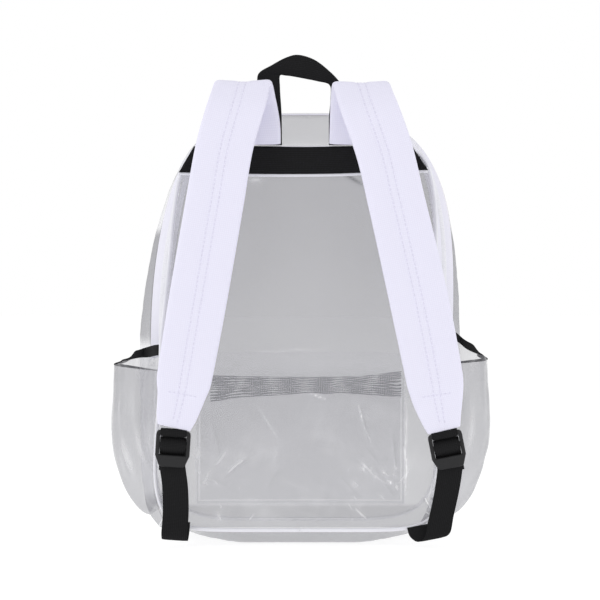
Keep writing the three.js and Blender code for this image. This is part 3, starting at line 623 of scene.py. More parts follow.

# %% [markdown]
# ## Film strips
# The side of the bag is two long strips of film, one on each side of the zip, and a third below for
# the bottom. Real film is never quite smooth: it was folded in a carton, so it keeps shallow waves
# across the strip. Those are pushed along the normal, most in the middle and nothing at the seams.
# Where a strip is sewn to the zip its edge is folded under, and a thin dark line of painted shade
# marks that hem. Behind the side pockets it is clearer, as two films that touch let more light through
# than two with air between them, and over the shoulders it is painted pale, a painted reflection of
# the bright room. In front the films run right into the seam, so that no gap shows. The bottom is
# scuffed from standing.

# %% Film strips
SEAM_ROOM = 2.3
HEM_STATIONS = 0.06
# Painted shade of the zip hem: how dark its thin line is
HEM_FOLD_SHADE = 0.8
POCKET_FOOT_Z, POCKET_TOP_Z = (30, 70), (180, 212)
SHOULDER_FOOT_Z, SHOULDER_TOP_Z = (312, 336), (396, 412)
# Painted reflection of the room over the shoulders, for each strip
SHOULDER_SHINE = {"rear": 0.5, "front": 1.0}
SCUFF = 0.1
STRIP_WAVE = 1.1
STRIP_RIPPLES = [(1.0, 60, 3), (0.4, 22, 4)]
STRIP_END = 0.001
# Lengths that the waves are laid out by: of a step along the strip and of a station across it
STEP_LENGTH, STATION_LENGTH = 5.0, 40.0


def film_strip(name, shares, stations, material, wave, node):
    """A strip of film on the bag's form, with carton waves that die out at its sewn edges."""
    points = body(shares, stations)
    across, down = np.meshgrid(np.arange(len(shares)) * STEP_LENGTH, stations * STATION_LENGTH)
    edge = np.sin(np.pi * np.linspace(0, 1, len(stations)))[:, None]
    push = wave * edge * ripples(across, down, STRIP_RIPPLES)
    points = points + normals(points) * push[..., None]
    points[..., 2] = np.maximum(points[..., 2], FILM_LIFT)
    piece = dress(grid_piece(name, points, material), "clear_film", node)
    declare_sheet(piece, points)
    return piece, points


after_back = SEAM_ROOM / STATIONS[1]["y"]
arch = np.linspace(BOTTOM_SHARE + STRIP_END, 1 - BOTTOM_SHARE - STRIP_END, 260)
below = np.linspace(-BOTTOM_SHARE, BOTTOM_SHARE, 70)
for word, stations, material, zip_edge in (
    ("rear", np.linspace(after_back, ZIP_REAR, 16), thin_film, ZIP_REAR),
    ("front", np.linspace(ZIP_FRONT, FRONT, 26), side_film, ZIP_FRONT),
):
    strip, points = film_strip(
        f"film_{word}_strip", arch, stations, material, STRIP_WAVE, f"gusset_{word}_strip",
    )
    hem_shade = HEM_FOLD_SHADE * (np.abs(stations - zip_edge) < HEM_STATIONS)[:, None]
    heights = points[..., 2]
    behind_pocket = ease(heights, *POCKET_FOOT_Z) * (1 - ease(heights, *POCKET_TOP_Z))
    on_shoulder = ease(heights, *SHOULDER_FOOT_Z) * (1 - ease(heights, *SHOULDER_TOP_Z))
    # Clearer behind the pockets, a painted reflection on the shoulders, painted shade along the zip hem
    add_wear_and_light(strip, behind_pocket + SHOULDER_SHINE[word] * on_shoulder - hem_shade * (1 - behind_pocket))
bottom_stations = np.linspace(after_back, FRONT, 46)
bottom, points = film_strip("film_bottom", below, bottom_stations, film, 0.0, "bottom_gusset")
add_wear_and_light(bottom, np.full(points.shape[:2], -SCUFF))

# %% [markdown]
# ## Film panels
# The back and front are flat cuts of film, slightly bowed. A fan of triangles from the middle would
# pinch there, so the panel is made of level rows instead, each as wide as the seam at its height.
# The front panel is tucked a little into its seam. It carries one sharp fold below its upper right
# corner, seen through the bag as a dark line, because film that is looked along turns opaque; painted
# shade makes that line darker still. Below its pocket the front film is darker. The back panel's
# creases carry painted glints, and its lower part milky patches that are painted lighter.

# %% Film panels
BACK_CROWN = 3
FRONT_CROWN = 9
FRONT_TUCK = 0.5
# A crease: the x and z where it starts, the x and z where it ends, its width and its height
FRONT_FOLD = (46, 382, 68, 369, 1.3, 4.0)
BELOW_POCKET = (26, 31)
# How much darker the front film is below the pocket
FOOT_DARKENING = 0.32
FRONT_CREASES = [
    (-98, 372, -70, 384, 3.0, 3.0),
    (-20, 330, 60, 345, 14.0, 2.0),
]
# The creases that carry milk and painted glints on the back panel, with their share of them as height.
# Many are painted glints and light lines of the pocket and its welds behind this panel.
BACK_CREASES_AND_GLINTS = [
    (-42, 140, -20, 107, 0.7, 0.26), (58, 143, 63, 124, 0.7, 0.42), (63, 124, 72, 99, 0.6, 0.3),
    (8, 154, 28, 147, 0.8, 0.4), (57, 89, 72, 74, 0.7, 0.36), (72, 74, 90, 60, 0.6, 0.3),
    (106.5, 150, 106, 44, 1.0, 0.42), (-101, 57, -85, 82, 2.4, 0.2), (-85, 82, -73, 97, 1.6, 0.2),
    (-77, 70, -53, 89, 0.8, 0.26), (55, 40, 68, 27, 0.8, 0.42), (-84, 36, -78, 25, 2.6, 0.25),
    (-20, 107, -28, 70, 0.8, 0.14), (-28, 70, 20, 52, 1.2, 0.14), (-104, 120, -100, 60, 3.0, 0.2),
    (-50, 195, 30, 198, 0.8, 0.16), (-52, 366, -38, 368, 3.0, 0.3), (-136, 106, -141, 52, 4.0, 0.9),
]
# Patches of crumpled film, their short creases carrying painted glints: middle, reach, and how many
# short creases
CRUMPLES_AND_GLINTS = [(98, 66, 15, 34), (66, 70, 18, 12), (60, 34, 16, 9), (-86, 60, 22, 10), (-70, 36, 24, 8)]
CREASE_HEIGHT = 0.5
# Creases wander from their straight lines by such waves, one seed for x and one for z
WANDER, WANDER_SIZE, WANDER_SEEDS = 2.0, 34, (71, 72)
BACK_RIPPLES = [(0.8, 120, 21)]
FRONT_RIPPLES = [(1.5, 110, 25)]
# Milky patches with painted light, making the lower back panel lighter: wide ones, drawn out
# sideways, and small ones between them
MILK_AND_LIGHT_BELOW = (120, 200)
MILK_AND_LIGHT_PATCH = 0.14
MILK_AND_LIGHT_STRETCH = 0.6
WIDE_MILK_AND_LIGHT, SMALL_MILK_AND_LIGHT = [(1.0, 48, 23)], [(0.6, 19, 24)]


def crumple(middle_x, middle_z, reach, count):
    """Rows of short random creases round a place, most of them steep."""
    random = np.random.default_rng(count)
    rows = []
    for _ in range(count):
        from_x, from_z = random.normal((middle_x, middle_z), reach / 2)
        length, angle = random.uniform(3, 12), random.uniform(0.9, 2.6)
        to_x, to_z = from_x + length * math.cos(angle), from_z + length * math.sin(angle)
        rows.append((from_x, from_z, to_x, to_z, random.uniform(0.4, 0.7), random.uniform(0.05, 0.3)))
    return rows


def panel_grid(station, rows, columns, room):
    """Level rows of points inside a seam loop, which they keep room from."""
    right = loop(station, np.linspace(0, 0.5, 400))
    left = loop(station, np.linspace(1, 0.5, 400))
    low, high = right[0, 2] + room, right[-1, 2] - room
    heights = low + (high - low) * (1 - np.cos(np.linspace(0.08, np.pi - 0.08, rows))) / 2
    reach = [np.interp(heights, side[:, 2], side[:, 0]) for side in (left, right)]
    share = np.linspace(0, 1, columns)
    x = (reach[0] + room)[:, None] * (1 - share) + (reach[1] - room)[:, None] * share
    return x, np.broadcast_to(heights[:, None], x.shape)


def crown(x, z, station, height):
    """How far a panel bows in its middle."""
    across = np.maximum(1 - (x / station["half_width"]) ** 2, 0)
    up = np.maximum(1 - ((z - WAIST_Z) / (station["top"] - WAIST_Z)) ** 2, 0)
    return height * across * up


def front_y(x, z):
    """The front panel's place."""
    return STATIONS[FRONT]["y"] + crown(x, z, STATIONS[FRONT], FRONT_CROWN)


x, z = panel_grid(STATIONS[BACK], 290, 240, SEAM_ROOM)
bowed = crown(x, z, STATIONS[BACK], BACK_CROWN)
wander_x, wander_z = (ripples(x, z, [(WANDER, WANDER_SIZE, seed)]) for seed in WANDER_SEEDS)
rows = BACK_CREASES_AND_GLINTS + sum((crumple(*spot) for spot in CRUMPLES_AND_GLINTS), [])
creases = sum(crease(x + wander_x, z + wander_z, row) for row in rows)
y = bowed + ripples(x, z, BACK_RIPPLES) * np.minimum(bowed, 1) + CREASE_HEIGHT * creases
back_points = np.stack([x, y, z], 2)
back_film = dress(grid_piece("film_back_panel", back_points, film), "clear_film", "back_panel")
# Painted light on the back panel: glints on its creases, and milky patches painted lighter low down
milk_and_light_patches = ripples(MILK_AND_LIGHT_STRETCH * x, z, WIDE_MILK_AND_LIGHT) + ripples(x, z, SMALL_MILK_AND_LIGHT)
milk_and_light_patches = np.maximum(milk_and_light_patches, 0) * (1 - ease(z, *MILK_AND_LIGHT_BELOW))
add_wear_and_light(back_film, creases + MILK_AND_LIGHT_PATCH * milk_and_light_patches)
declare_sheet(back_film, back_points)

x, z = panel_grid(STATIONS[FRONT], 190, 190, -FRONT_TUCK)
y = front_y(x, z) + ripples(x, z, FRONT_RIPPLES) * np.minimum(crown(x, z, STATIONS[FRONT], 2), 1)
y = y - sum(crease(x, z, row) for row in FRONT_CREASES) - crease(x, z, FRONT_FOLD)
front_points = np.stack([x, y, z], 2)
front_film = dress(grid_piece("film_front_panel", front_points, film), "clear_film", "front_panel")
below_pocket = 1 - ease(z, *BELOW_POCKET)
# Painted shade along the fold's dark line, and darker film below the pocket
add_wear_and_light(front_film, -crease(x, z, FRONT_FOLD) / FRONT_FOLD[-1] - FOOT_DARKENING * below_pocket)
declare_sheet(front_film, front_points)

# %% [markdown]
# ## Piping round the seams
# Film frays no threads but cuts the hand, so its seams are covered with soft piping. It is a
# small round sweep along the seam loop. A curve object with a bevel would do; points are used here
# so that the piping shares the film's own seam exactly.

# %% Seam piping
PIPING_RADIUS = 2.0
PIPING_SIDES = 10


def seam_piping(name, station, material, node):
    """A round cord along a seam loop."""
    line = loop(station, np.linspace(0, 1, 321))
    along = np.gradient(line, axis=0)
    along[0] = along[-1] = line[1] - line[-2]
    along /= np.linalg.norm(along, axis=1, keepdims=True)
    out = np.cross(np.array([0, 1, 0]), along)
    turn = np.linspace(0, 2 * np.pi, PIPING_SIDES, endpoint=False)
    ring = np.cos(turn)[None, :, None] * out[:, None] + np.sin(turn)[None, :, None] * np.array([0, 1, 0])
    piece = grid_piece(name, line[:, None] + PIPING_RADIUS * ring, material, closed=True)
    return dress(piece, "seam_binding", node)


seam_piping("piping_back", STATIONS[BACK], piping, "back_seam_binding")
seam_piping("piping_front", STATIONS[FRONT], clear_piping, "front_seam_binding")

# %% [markdown]
# ## The zip
# A white woven tape runs over the arch, with a coil down its middle. Each turn of a coil is a tiny
# bar across the chain; modelling hundreds of loops would cost far more than they show, so the
# chain is one strip whose height follows the turns, dense enough to catch the light on each. The
# tape stops just below the pockets' mouths, and film goes on from there.

# %% Zip tape and coil
COIL_TURN = 2.0
COIL_HEIGHT = 1.1
COIL_GAP = 0.55
COIL_SHARES = (0.4, 0.6)
ZIP_END_Z = 186
# The tape's two folds: their places across it, their width as a share of it and their height
FOLD_SHARES = (0.28, 0.72)
FOLD_WIDTH = 0.03
FOLD_HEIGHT = 0.5

zip_line = body(arch, [1.5])[0]
zipped = arch[zip_line[:, 2] > ZIP_END_Z]
zip_stations = np.linspace(ZIP_REAR + 0.01, ZIP_FRONT - 0.01, 17)
tape_points = body(zipped, zip_stations)
share = np.linspace(0, 1, 17)[:, None]
fold = sum(np.exp(-((share - middle) / FOLD_WIDTH) ** 2) for middle in FOLD_SHARES)
tape_points = tape_points + normals(tape_points) * (FOLD_HEIGHT * fold)[..., None]
dress(grid_piece("zip_tape_cloth", tape_points, zip_cloth), "zip_tape", "zip_tape")
for side, ends in (("right", (arch[0], zipped[0])), ("left", (zipped[-1], arch[-1]))):
    tail_points = body(np.linspace(*ends, 48), zip_stations)
    tail = dress(grid_piece("film_zip_tail_" + side, tail_points, side_film), "clear_film")
    add_wear_and_light(tail, ease(tail_points[..., 2], *POCKET_FOOT_Z))
    declare_sheet(tail, tail_points)

chain_length = np.linalg.norm(np.diff(body(zipped, [1.5])[0], axis=0), axis=1).sum()
turns = int(chain_length / COIL_TURN)
chain_shares = np.linspace(zipped[2], zipped[-3], 4 * turns)
chain = body(chain_shares, ZIP_REAR + np.linspace(*COIL_SHARES, 7))
round_off = np.sin(np.pi * np.linspace(0, 1, 7))[:, None] ** 0.5
teeth = COIL_GAP + (1 - COIL_GAP) * np.abs(np.sin(np.pi * np.arange(4 * turns) / 4))
chain = chain + normals(chain) * (COIL_HEIGHT * round_off * teeth)[..., None]
dress(grid_piece("zip_coil", chain, piping), "zip_tape")
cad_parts["zip_slider"].data.materials.clear()
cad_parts["zip_slider"].data.materials.append(plated)
print("zip chain:", round(chain_length), "mm with", turns, "turns")

# %% [markdown]
# ## Flat webbing
# The yoke band, the handle, the pocket tapes and the lower straps are all flat woven bands. Each is
# drawn by its two edges: a ring of points runs across the face, round a thin edge and back, and the
# rings are stacked along the band. The selvedges are thinner than the middle, as on woven webbing.

# %% Band helper
BAND_POINTS = 9
SELVEDGE = 0.55


def band_piece(name, edge_a, edge_b, thickness, material):
    """A closed flat band between two edge lines."""
    share = np.linspace(0, 1, BAND_POINTS)
    face = edge_a[:, None] * (1 - share)[None, :, None] + edge_b[:, None] * share[None, :, None]
    out = normals(face)
    profile = thickness / 2 * (SELVEDGE + (1 - SELVEDGE) * np.minimum(1, 6 * np.minimum(share, 1 - share)))
    front = face + out * profile[None, :, None]
    rear = (face - out * profile[None, :, None])[:, ::-1]
    return grid_piece(name, np.concatenate([front, rear], 1), material, closed=True)


# %% Yoke band
# The band is sewn over the top seam. Its lower edge sags a little and shows a hem of white below.
YOKE = {
    "bottom": 374.5, "bottom_left": -121, "bottom_right": 128,
    "top": 400.5, "top_left": -106, "top_right": 112,
}
YOKE_Y = -3.2
YOKE_SAG = 1.8
SAG_REACH = 1.15
# Past this share of its length the band's lower edge is drawn up
LIFT_FROM, YOKE_LIFT = 0.6, 2.2
YOKE_RIPPLE = 0.6
YOKE_THICK = 1.6
HEM = 2.6
HEM_BEHIND = 1.2
HEM_THICK = 1.0
YOKE_POINTS = 90

share = np.linspace(0, 1, YOKE_POINTS)
sag = YOKE_SAG * np.sin(np.pi * np.minimum(share * SAG_REACH, 1)) - YOKE_LIFT * ease(share, LIFT_FROM, 1.0)
lower = np.stack([YOKE["bottom_left"] + share * (YOKE["bottom_right"] - YOKE["bottom_left"]),
                  np.full(YOKE_POINTS, YOKE_Y), YOKE["bottom"] - sag], 1)
upper = np.stack([YOKE["top_left"] + share * (YOKE["top_right"] - YOKE["top_left"]),
                  np.full(YOKE_POINTS, YOKE_Y), YOKE["top"] + YOKE_RIPPLE * np.sin(3 * np.pi * share)], 1)
dress(band_piece("yoke_band", lower, upper, YOKE_THICK, webbing), "webbing", "back_yoke_band")
hem_low = lower - (0, -HEM_BEHIND, HEM)
dress(band_piece("yoke_hem", hem_low, hem_low + (0, 0, 2 * HEM), HEM_THICK, piping), "seam_binding")

# %% Grab handle
# Each row of the handle: outer x and z, inner x and z, and y. It stands skewed, as it was pulled.
HANDLE = np.array([
    (-44, 401.8, -18, 401.8, -1.6), (-44, 435, -18.5, 435, 2), (-43, 462, -20, 460, 2),
    (-41.5, 473.5, -19.5, 472, 1), (-28, 482, -13, 471.3, -0.5), (-14, 489.3, -7, 470.3, -1.5),
    (-3, 492, 0, 469, -2), (13, 487.8, 8, 467.5, -1.5), (27, 478, 18, 465.5, -0.5),
    (40, 464.5, 29.5, 462, 1), (46, 450, 30.5, 448, 2), (53, 430, 29, 430, 2), (54, 401.8, 29, 401.8, -1.6),
])
HANDLE_THICK = 1.8
run = np.linspace(0, 1, 120)
outer = smooth(HANDLE[:, [0, 4, 1]], run)
inner = smooth(HANDLE[:, [2, 4, 3]], run)
dress(band_piece("handle_webbing", outer, inner, HANDLE_THICK, webbing), "webbing", "grab_handle")

# %% [markdown]
# ## Lower webbing and buckles
# From the bottom seam a black strap comes out, folds up, passes over the buckle's middle bar and
# ends in a short tail behind. Its path is given in two parts: a few rows below the buckle, then the
# way through the buckle in the buckle's own plane. A short loop of the same webbing, sewn into the
# strap's end, holds the buckle's top bar. The buckles are hard and keep their solids; only their
# finish is new.

# %% Lower webbing
WEBBING_WIDTH = 25.8
WEBBING_THICK = 1.6
# A buckle's x, y and z, and its turn and lean in radians
BUCKLES = {"left": (-127, -24, 82, -0.07, 0.19), "right": (149.5, -24, 81, 0.2, 0.19)}
WEBBING_ROWS = {
    "left": [
        (-122.5, -3.2, 26), (-123.5, -5.4, 14), (-124.5, -9, 8.4),
        (-125, -13, 13), (-123.5, -14.5, 35), (-124, -17, 62),
    ],
    "right": [
        (119.5, -3.5, 22), (122, -5.2, 14), (129, -9, 9),
        (136, -13, 12.5), (140, -14.4, 30), (146.5, -17, 62),
    ],
}
LOOP_UP_OUT = [
    (38.3, 0.9), (38.0, 2.4), (36.5, 3.1), (33.2, 3.1), (31.8, 2.4), (31.5, 0),
    (31.8, -2.4), (33.2, -3.1), (36.5, -3.1), (38.0, -2.4), (38.3, -0.9),
]
LOOP_WIDTH = 25.8
LOOP_THICK = 0.9
THREAD_UP_OUT = [
    (4, -3.7), (11, -3.7), (12.6, -3), (16, 0), (19.4, 3), (21, 3.7), (23.5, 3.7),
    (25.4, 2.9), (28, 0), (29.2, -3.4), (26, -6), (18, -6.8), (8, -7.4), (-6, -8),
]


def buckle_axes(place_row):
    """A buckle's sideways, up and outwards directions."""
    turn, lean = place_row[3:]
    flat_up = np.array([-np.sin(turn), np.cos(turn)])
    flat_side = np.array([np.cos(turn), np.sin(turn)])
    tilt = math.pi / 2 + lean
    stand = np.array([0, np.cos(tilt), np.sin(tilt)])
    out = np.array([0, -np.sin(tilt), np.cos(tilt)])
    right = np.array([1, 0, 0])
    return flat_side[0] * right + flat_side[1] * stand, flat_up[0] * right + flat_up[1] * stand, out


for side, place_row in BUCKLES.items():
    sideways, up, out = buckle_axes(place_row)
    foot = np.array(place_row[:3])
    thread = [foot + rise * up + away * out for rise, away in THREAD_UP_OUT]
    rows = np.array(WEBBING_ROWS[side] + [tuple(point) for point in thread], float)
    line = smooth(rows, np.linspace(0, 1, 150))
    across = WEBBING_WIDTH / 2 * sideways
    piece = band_piece("webbing_" + side, line - across, line + across, WEBBING_THICK, webbing)
    dress(piece, "webbing", "lower_webbing_" + side)
    loop_rows = [foot + rise * up + away * out for rise, away in LOOP_UP_OUT]
    ring = smooth(loop_rows, np.linspace(0, 1, 60))
    reach = LOOP_WIDTH / 2 * sideways
    dress(band_piece("strap_loop_" + side, ring - reach, ring + reach, LOOP_THICK, webbing), "webbing")
    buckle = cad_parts["buckle_" + side]
    buckle.data.materials.clear()
    buckle.data.materials.append(acetal)
print("buckles finished:", list(BUCKLES))

# %% [markdown]
# ## Padded straps
# A strap is foam in a tube of white cloth, sewn through along two lines down its middle. Its section
# is a flat lozenge with round edges. Cloth pressure then blows the tube up while the stitch lines
# and the edges are held, which gives the shallow quilting between them; a cap on the movement keeps
# the strap its own thickness. One level of subdivision smooths the result.

# %% Strap shape
# Rows along the middle of a strap: x, y and z, then its width and thickness
STRAPS = {
    "left": [
        (-47.5, -4.6, 401.6, 57, 4), (-47.8, -7, 420, 57, 8), (-52, -9, 444, 57, 9), (-56, -24, 460, 57, 9),
        (-61, -40, 443, 57, 9), (-73.5, -46, 399, 57, 9), (-83, -48, 345, 58, 9), (-100, -46, 247, 58, 9),
        (-114, -39, 168, 55, 9), (-117, -36, 152, 48, 8), (-122, -33, 131, 40, 6),
        (-124.3, -31.3, 121, 33, 4),
    ],
    "right": [
        (57.5, -4.6, 401.6, 57, 4), (57.7, -7, 420, 57, 8), (58.5, -9, 444, 57, 9), (60, -24, 459, 57, 9),
        (66, -40, 441, 57, 9), (82, -46, 395, 57, 9), (94, -48, 345, 57, 9), (116.5, -46, 247, 59, 9),
        (132.5, -39, 168, 57, 9), (135.5, -36, 149, 51, 8), (139, -33, 131, 41, 6),
        (142.3, -31, 118.1, 33, 4),
    ],
}
STRAP_RINGS = 130
FACE_POINTS = 15
EDGE_POINTS = 3
STITCH_COLUMNS = (6, 8)
OPPOSITE = 2 * FACE_POINTS + EDGE_POINTS - 1
STITCH_PULL = 0.62
START_THICKNESS = 0.85
HELD_BELOW = 0.7


def strap_section():
    """Rows of (share of the flat face, share of the round edge, face) round a strap's section."""
    flat = np.linspace(1, -1, FACE_POINTS)
    turn = np.linspace(0, np.pi, EDGE_POINTS + 2)[1:-1]
    front = [(share, 0, 1) for share in flat]
    left = [(-1, -np.sin(angle), np.cos(angle)) for angle in turn]
    rear = [(share, 0, -1) for share in flat[::-1]]
    right = [(1, np.sin(angle), -np.cos(angle)) for angle in turn]
    section = np.array(front + left + rear + right, float)
    for column in STITCH_COLUMNS:
        section[column, 2] = STITCH_PULL
        section[OPPOSITE - column, 2] = -STITCH_PULL
    return section


def strap_rings(rows):
    """Rings of points along a strap, and its centre line."""
    rows = np.array(rows, float)
    run = np.linspace(0, 1, STRAP_RINGS)
    line = smooth(rows[:, :3], run)
    width, thickness = smooth(rows[:, 3:], run).T
    along = np.gradient(line, axis=0)
    along /= np.linalg.norm(along, axis=1, keepdims=True)
    across = np.array([1.0, 0, 0]) - along * along[:, :1]
    across /= np.linalg.norm(across, axis=1, keepdims=True)
    out = np.cross(across, along)
    share, edge, face = strap_section().T
    half = thickness / 2
    side = share[None] * (width / 2 - half)[:, None] + edge[None] * half[:, None]
    lift = START_THICKNESS * face[None] * half[:, None]
    return line[:, None] + side[..., None] * across[:, None] + lift[..., None] * out[:, None], line


section = strap_section()
print("points round a strap:", len(section))

# %% Padding simulation
PADDING_PRESSURE = 4.0
PADDING_FRAMES = 20
PADDING_CAP = 1.6 * MM


def puff(piece, sewn):
    """Blows a closed piece up with Cloth pressure while the sewn points stay, and keeps the shape."""
    group = piece.vertex_groups.new(name="sewn")
    group.add(sewn, 1.0, "REPLACE")
    cloth = piece.modifiers.new("padding", "CLOTH")
    cloth.settings.use_pressure = True
    cloth.settings.uniform_pressure_force = PADDING_PRESSURE
    cloth.settings.effector_weights.gravity = 0
    cloth.settings.vertex_group_mass = group.name
    for number in range(1, PADDING_FRAMES + 1):
        bpy.context.scene.frame_set(number)
    blown = piece.evaluated_get(bpy.context.evaluated_depsgraph_get()).data
    before, after = np.empty(3 * len(blown.vertices)), np.empty(3 * len(blown.vertices))
    piece.data.vertices.foreach_get("co", before)
    blown.vertices.foreach_get("co", after)
    moved = (after - before).reshape(-1, 3)
    far = np.linalg.norm(moved, axis=1, keepdims=True)
    moved *= np.minimum(1, PADDING_CAP / np.maximum(far, 1e-9))
    piece.modifiers.remove(cloth)
    piece.data.vertices.foreach_set("co", before + moved.ravel())
    piece.data.update()
    bpy.context.scene.frame_set(1)
    print(piece.name, "puffed by up to", round(float(min(far.max(), PADDING_CAP)) * 1000, 2), "mm")


# %% Straps
strap_pieces = {}
strap_lines = {}
for side, rows in STRAPS.items():
    rings, line = strap_rings(rows)
    piece = grid_piece("strap_" + side, rings, strap_cloth, closed=True)
    columns = rings.shape[1]
    held = [column for column in range(columns) if abs(section[column, 2]) < HELD_BELOW]
    sewn = [ring * columns + column for ring in range(STRAP_RINGS) for column in held]
    sewn += list(range(columns)) + list(range((STRAP_RINGS - 1) * columns, STRAP_RINGS * columns))
    puff(piece, sewn)
    finer = piece.modifiers.new("finer", "SUBSURF")
    finer.levels = finer.render_levels = 1
    dress(piece, "strap_cloth", "shoulder_strap_" + side)
    strap_pieces[side] = piece
    strap_lines[side] = (rings, line)

# %% [markdown]
# ## Stitches
# Two rows of lockstitch run down each strap, seen on both faces, and one row crosses it where the
# foam ends. Each stitch is a tiny capsule that dips into the cloth at both ends. They are laid on the
# finished strap by asking a search tree for the nearest point of its surface, so they sit in the
# quilted groove.

# %% Strap stitches
STITCH_LENGTH = 3.2
STITCH_STEP = 4.4
STITCH_RADIUS = 0.38
STITCH_SIDES = 6
# Five rings make a stitch: their places along it, their sizes and how high they lie, as shares
STITCH_AT = (0, 0.12, 0.5, 0.88, 1)
STITCH_SIZES = (0.3, 0.9, 1, 0.9, 0.3)
STITCH_LIFTS = (-0.2, 0.3, 0.5, 0.3, -0.2)
UNSEWN_RINGS = 4
CROSS_ROW_Z = 155.0
FRONT_RINGS = 60


def stitch_row(path, tree):
    """Quads of the stitches along a path of points in metres, laid on a surface."""
    run = np.concatenate([[0], np.linalg.norm(np.diff(path, axis=0), axis=1).cumsum()])
    starts = np.arange(STITCH_STEP * MM, run[-1] - STITCH_STEP * MM, STITCH_STEP * MM)
    points, faces = [], []
    for start in starts:
        at = start + STITCH_LENGTH * MM * np.array(STITCH_AT)
        middle = np.stack([np.interp(at, run, path[:, axis]) for axis in range(3)], 1)
        laid = [tree.find_nearest(Vector(point)) for point in middle]
        along = np.array(laid[-1][0] - laid[0][0])
        along /= np.linalg.norm(along)
        for (spot, normal, _, _), size, lift in zip(laid, STITCH_SIZES, STITCH_LIFTS):
            out = np.array(normal)
            sideways = np.cross(along, out)
            turn = np.linspace(0, 2 * np.pi, STITCH_SIDES, endpoint=False)
            ring = np.cos(turn)[:, None] * sideways + np.sin(turn)[:, None] * out
            points.append(np.array(spot) + STITCH_RADIUS * MM * (size * ring + lift * out))
        first = (len(points) - len(STITCH_AT)) * STITCH_SIDES
        for ring in range(len(STITCH_AT) - 1):
            for corner in range(STITCH_SIDES):
                after = (corner + 1) % STITCH_SIDES
                low = first + ring * STITCH_SIDES
                high = low + STITCH_SIDES
                faces.append((low + corner, low + after, high + after, high + corner))
    return np.concatenate(points), faces


# The plies of such a thread are about 0.3 mm; they are drawn at 1.5 mm so that they show.
PLY_SIZE = 0.0015

thread_white, tree, surface = new_material("white_polyester_thread")
spot = add(tree, "ShaderNodeTexCoord", {}).outputs["Object"]
ply = add(tree, "ShaderNodeTexNoise", {"Vector": spot, "Scale": 1 / PLY_SIZE, "Detail": 2.0})
tone = add(tree, "ShaderNodeValToRGB", {"Fac": ply.outputs["Fac"]})
tone.color_ramp.elements[0].color = linear("#dcdaea")
tone.color_ramp.elements[1].color = linear("#e4e2f2")
fibre = add(tree, "ShaderNodeBsdfPrincipled", {"Base Color": tone.outputs[0], "Roughness": 0.6, "IOR": 1.5})
tree.links.new(fibre.outputs[0], surface)

for side, piece in strap_pieces.items():
    rings, line = strap_lines[side]
    shaped = piece.evaluated_get(bpy.context.evaluated_depsgraph_get())
    surface_tree = BVHTree.FromPolygons(
        [vertex.co.copy() for vertex in shaped.data.vertices],
        [list(face.vertices) for face in shaped.data.polygons],
    )
    points, faces = [], []
    sewn_columns = [*STITCH_COLUMNS, *(OPPOSITE - column for column in STITCH_COLUMNS)]
    paths = [place(rings[UNSEWN_RINGS:-UNSEWN_RINGS, column]) for column in sewn_columns]
    cross_ring = int(np.abs(line[FRONT_RINGS:, 2] - CROSS_ROW_Z).argmin()) + FRONT_RINGS
    paths.append(place(rings[cross_ring, OPPOSITE - FACE_POINTS + 2:OPPOSITE]))
    for path in paths:
        more, sides = stitch_row(path, surface_tree)
        offset = sum(len(block) for block in points)
        points.append(more)
        faces += [tuple(corner + offset for corner in face) for face in sides]
    mesh = bpy.data.meshes.new("strap_stitches_" + side)
    mesh.from_pydata(np.concatenate(points).tolist(), [], faces)
    mesh.materials.append(thread_white)
    mesh.shade_smooth()
    stitches = bpy.data.objects.new(mesh.name, mesh)
    bpy.context.scene.collection.objects.link(stitches)
    dress(stitches, "strap_cloth")

# %% [markdown]
# ## Side pockets
# Each side carries a pocket of film, sewn down along three edges and bound with black tape at its
# mouth. It stands off the bag most in the middle of its depth and rounds in towards its foot. The
# film of a pocket is handled more than any other, so it has the deepest waves and milky streaks.

# %% Side pockets
POCKETS = {
    "left": {"side": -1, "mouth": [203, 198, 193, 187, 179], "overlap": 2.8, "lies_at": 1.73},
    "right": {"side": 1, "mouth": [225, 211, 198, 192, 186], "overlap": 0.0, "lies_at": 1.88},
}
POCKET_BULGE = 39
POCKET_ENDS = (0.12, 3.9)
POCKET_FOOT = 7.75 / RIBS
ROUND_SHARE, ROUND_POWER = 0.74, 0.72
MOUTH_SHARE, MOUTH_FROM = 0.86, 0.4
BULGE_POWER = 0.7
BINDING_HEIGHT = 8.0
# By the strap the tape is upright and laps over the film by its overlap. From about its station
# lies_at on, it lies down towards the bag and turns its edge to the eye.
TAPE_TURN = 0.28
TAPE_LYING = 0.1
OVERLAP_STATIONS = (0.6, 1.5)
TAPE_THICK = 2.2
POCKET_ROWS, POCKET_UPS = 60, 50
POCKET_SPAN = 150
# Waves of the pocket's film: long ones, drawn out upwards, and short ones. Each pocket adds its number
# to their seeds, and to that of the milky streaks.
LONG_WAVES, SHORT_WAVES = (1.8, 55, 31), (0.8, 26, 41)
STREAKS = (1.0, 24, 61)
WAVE_STRETCH, STREAK_STRETCH = 0.35, 0.3
STREAK_MILK = 0.3
CLEARANCE = 0.6


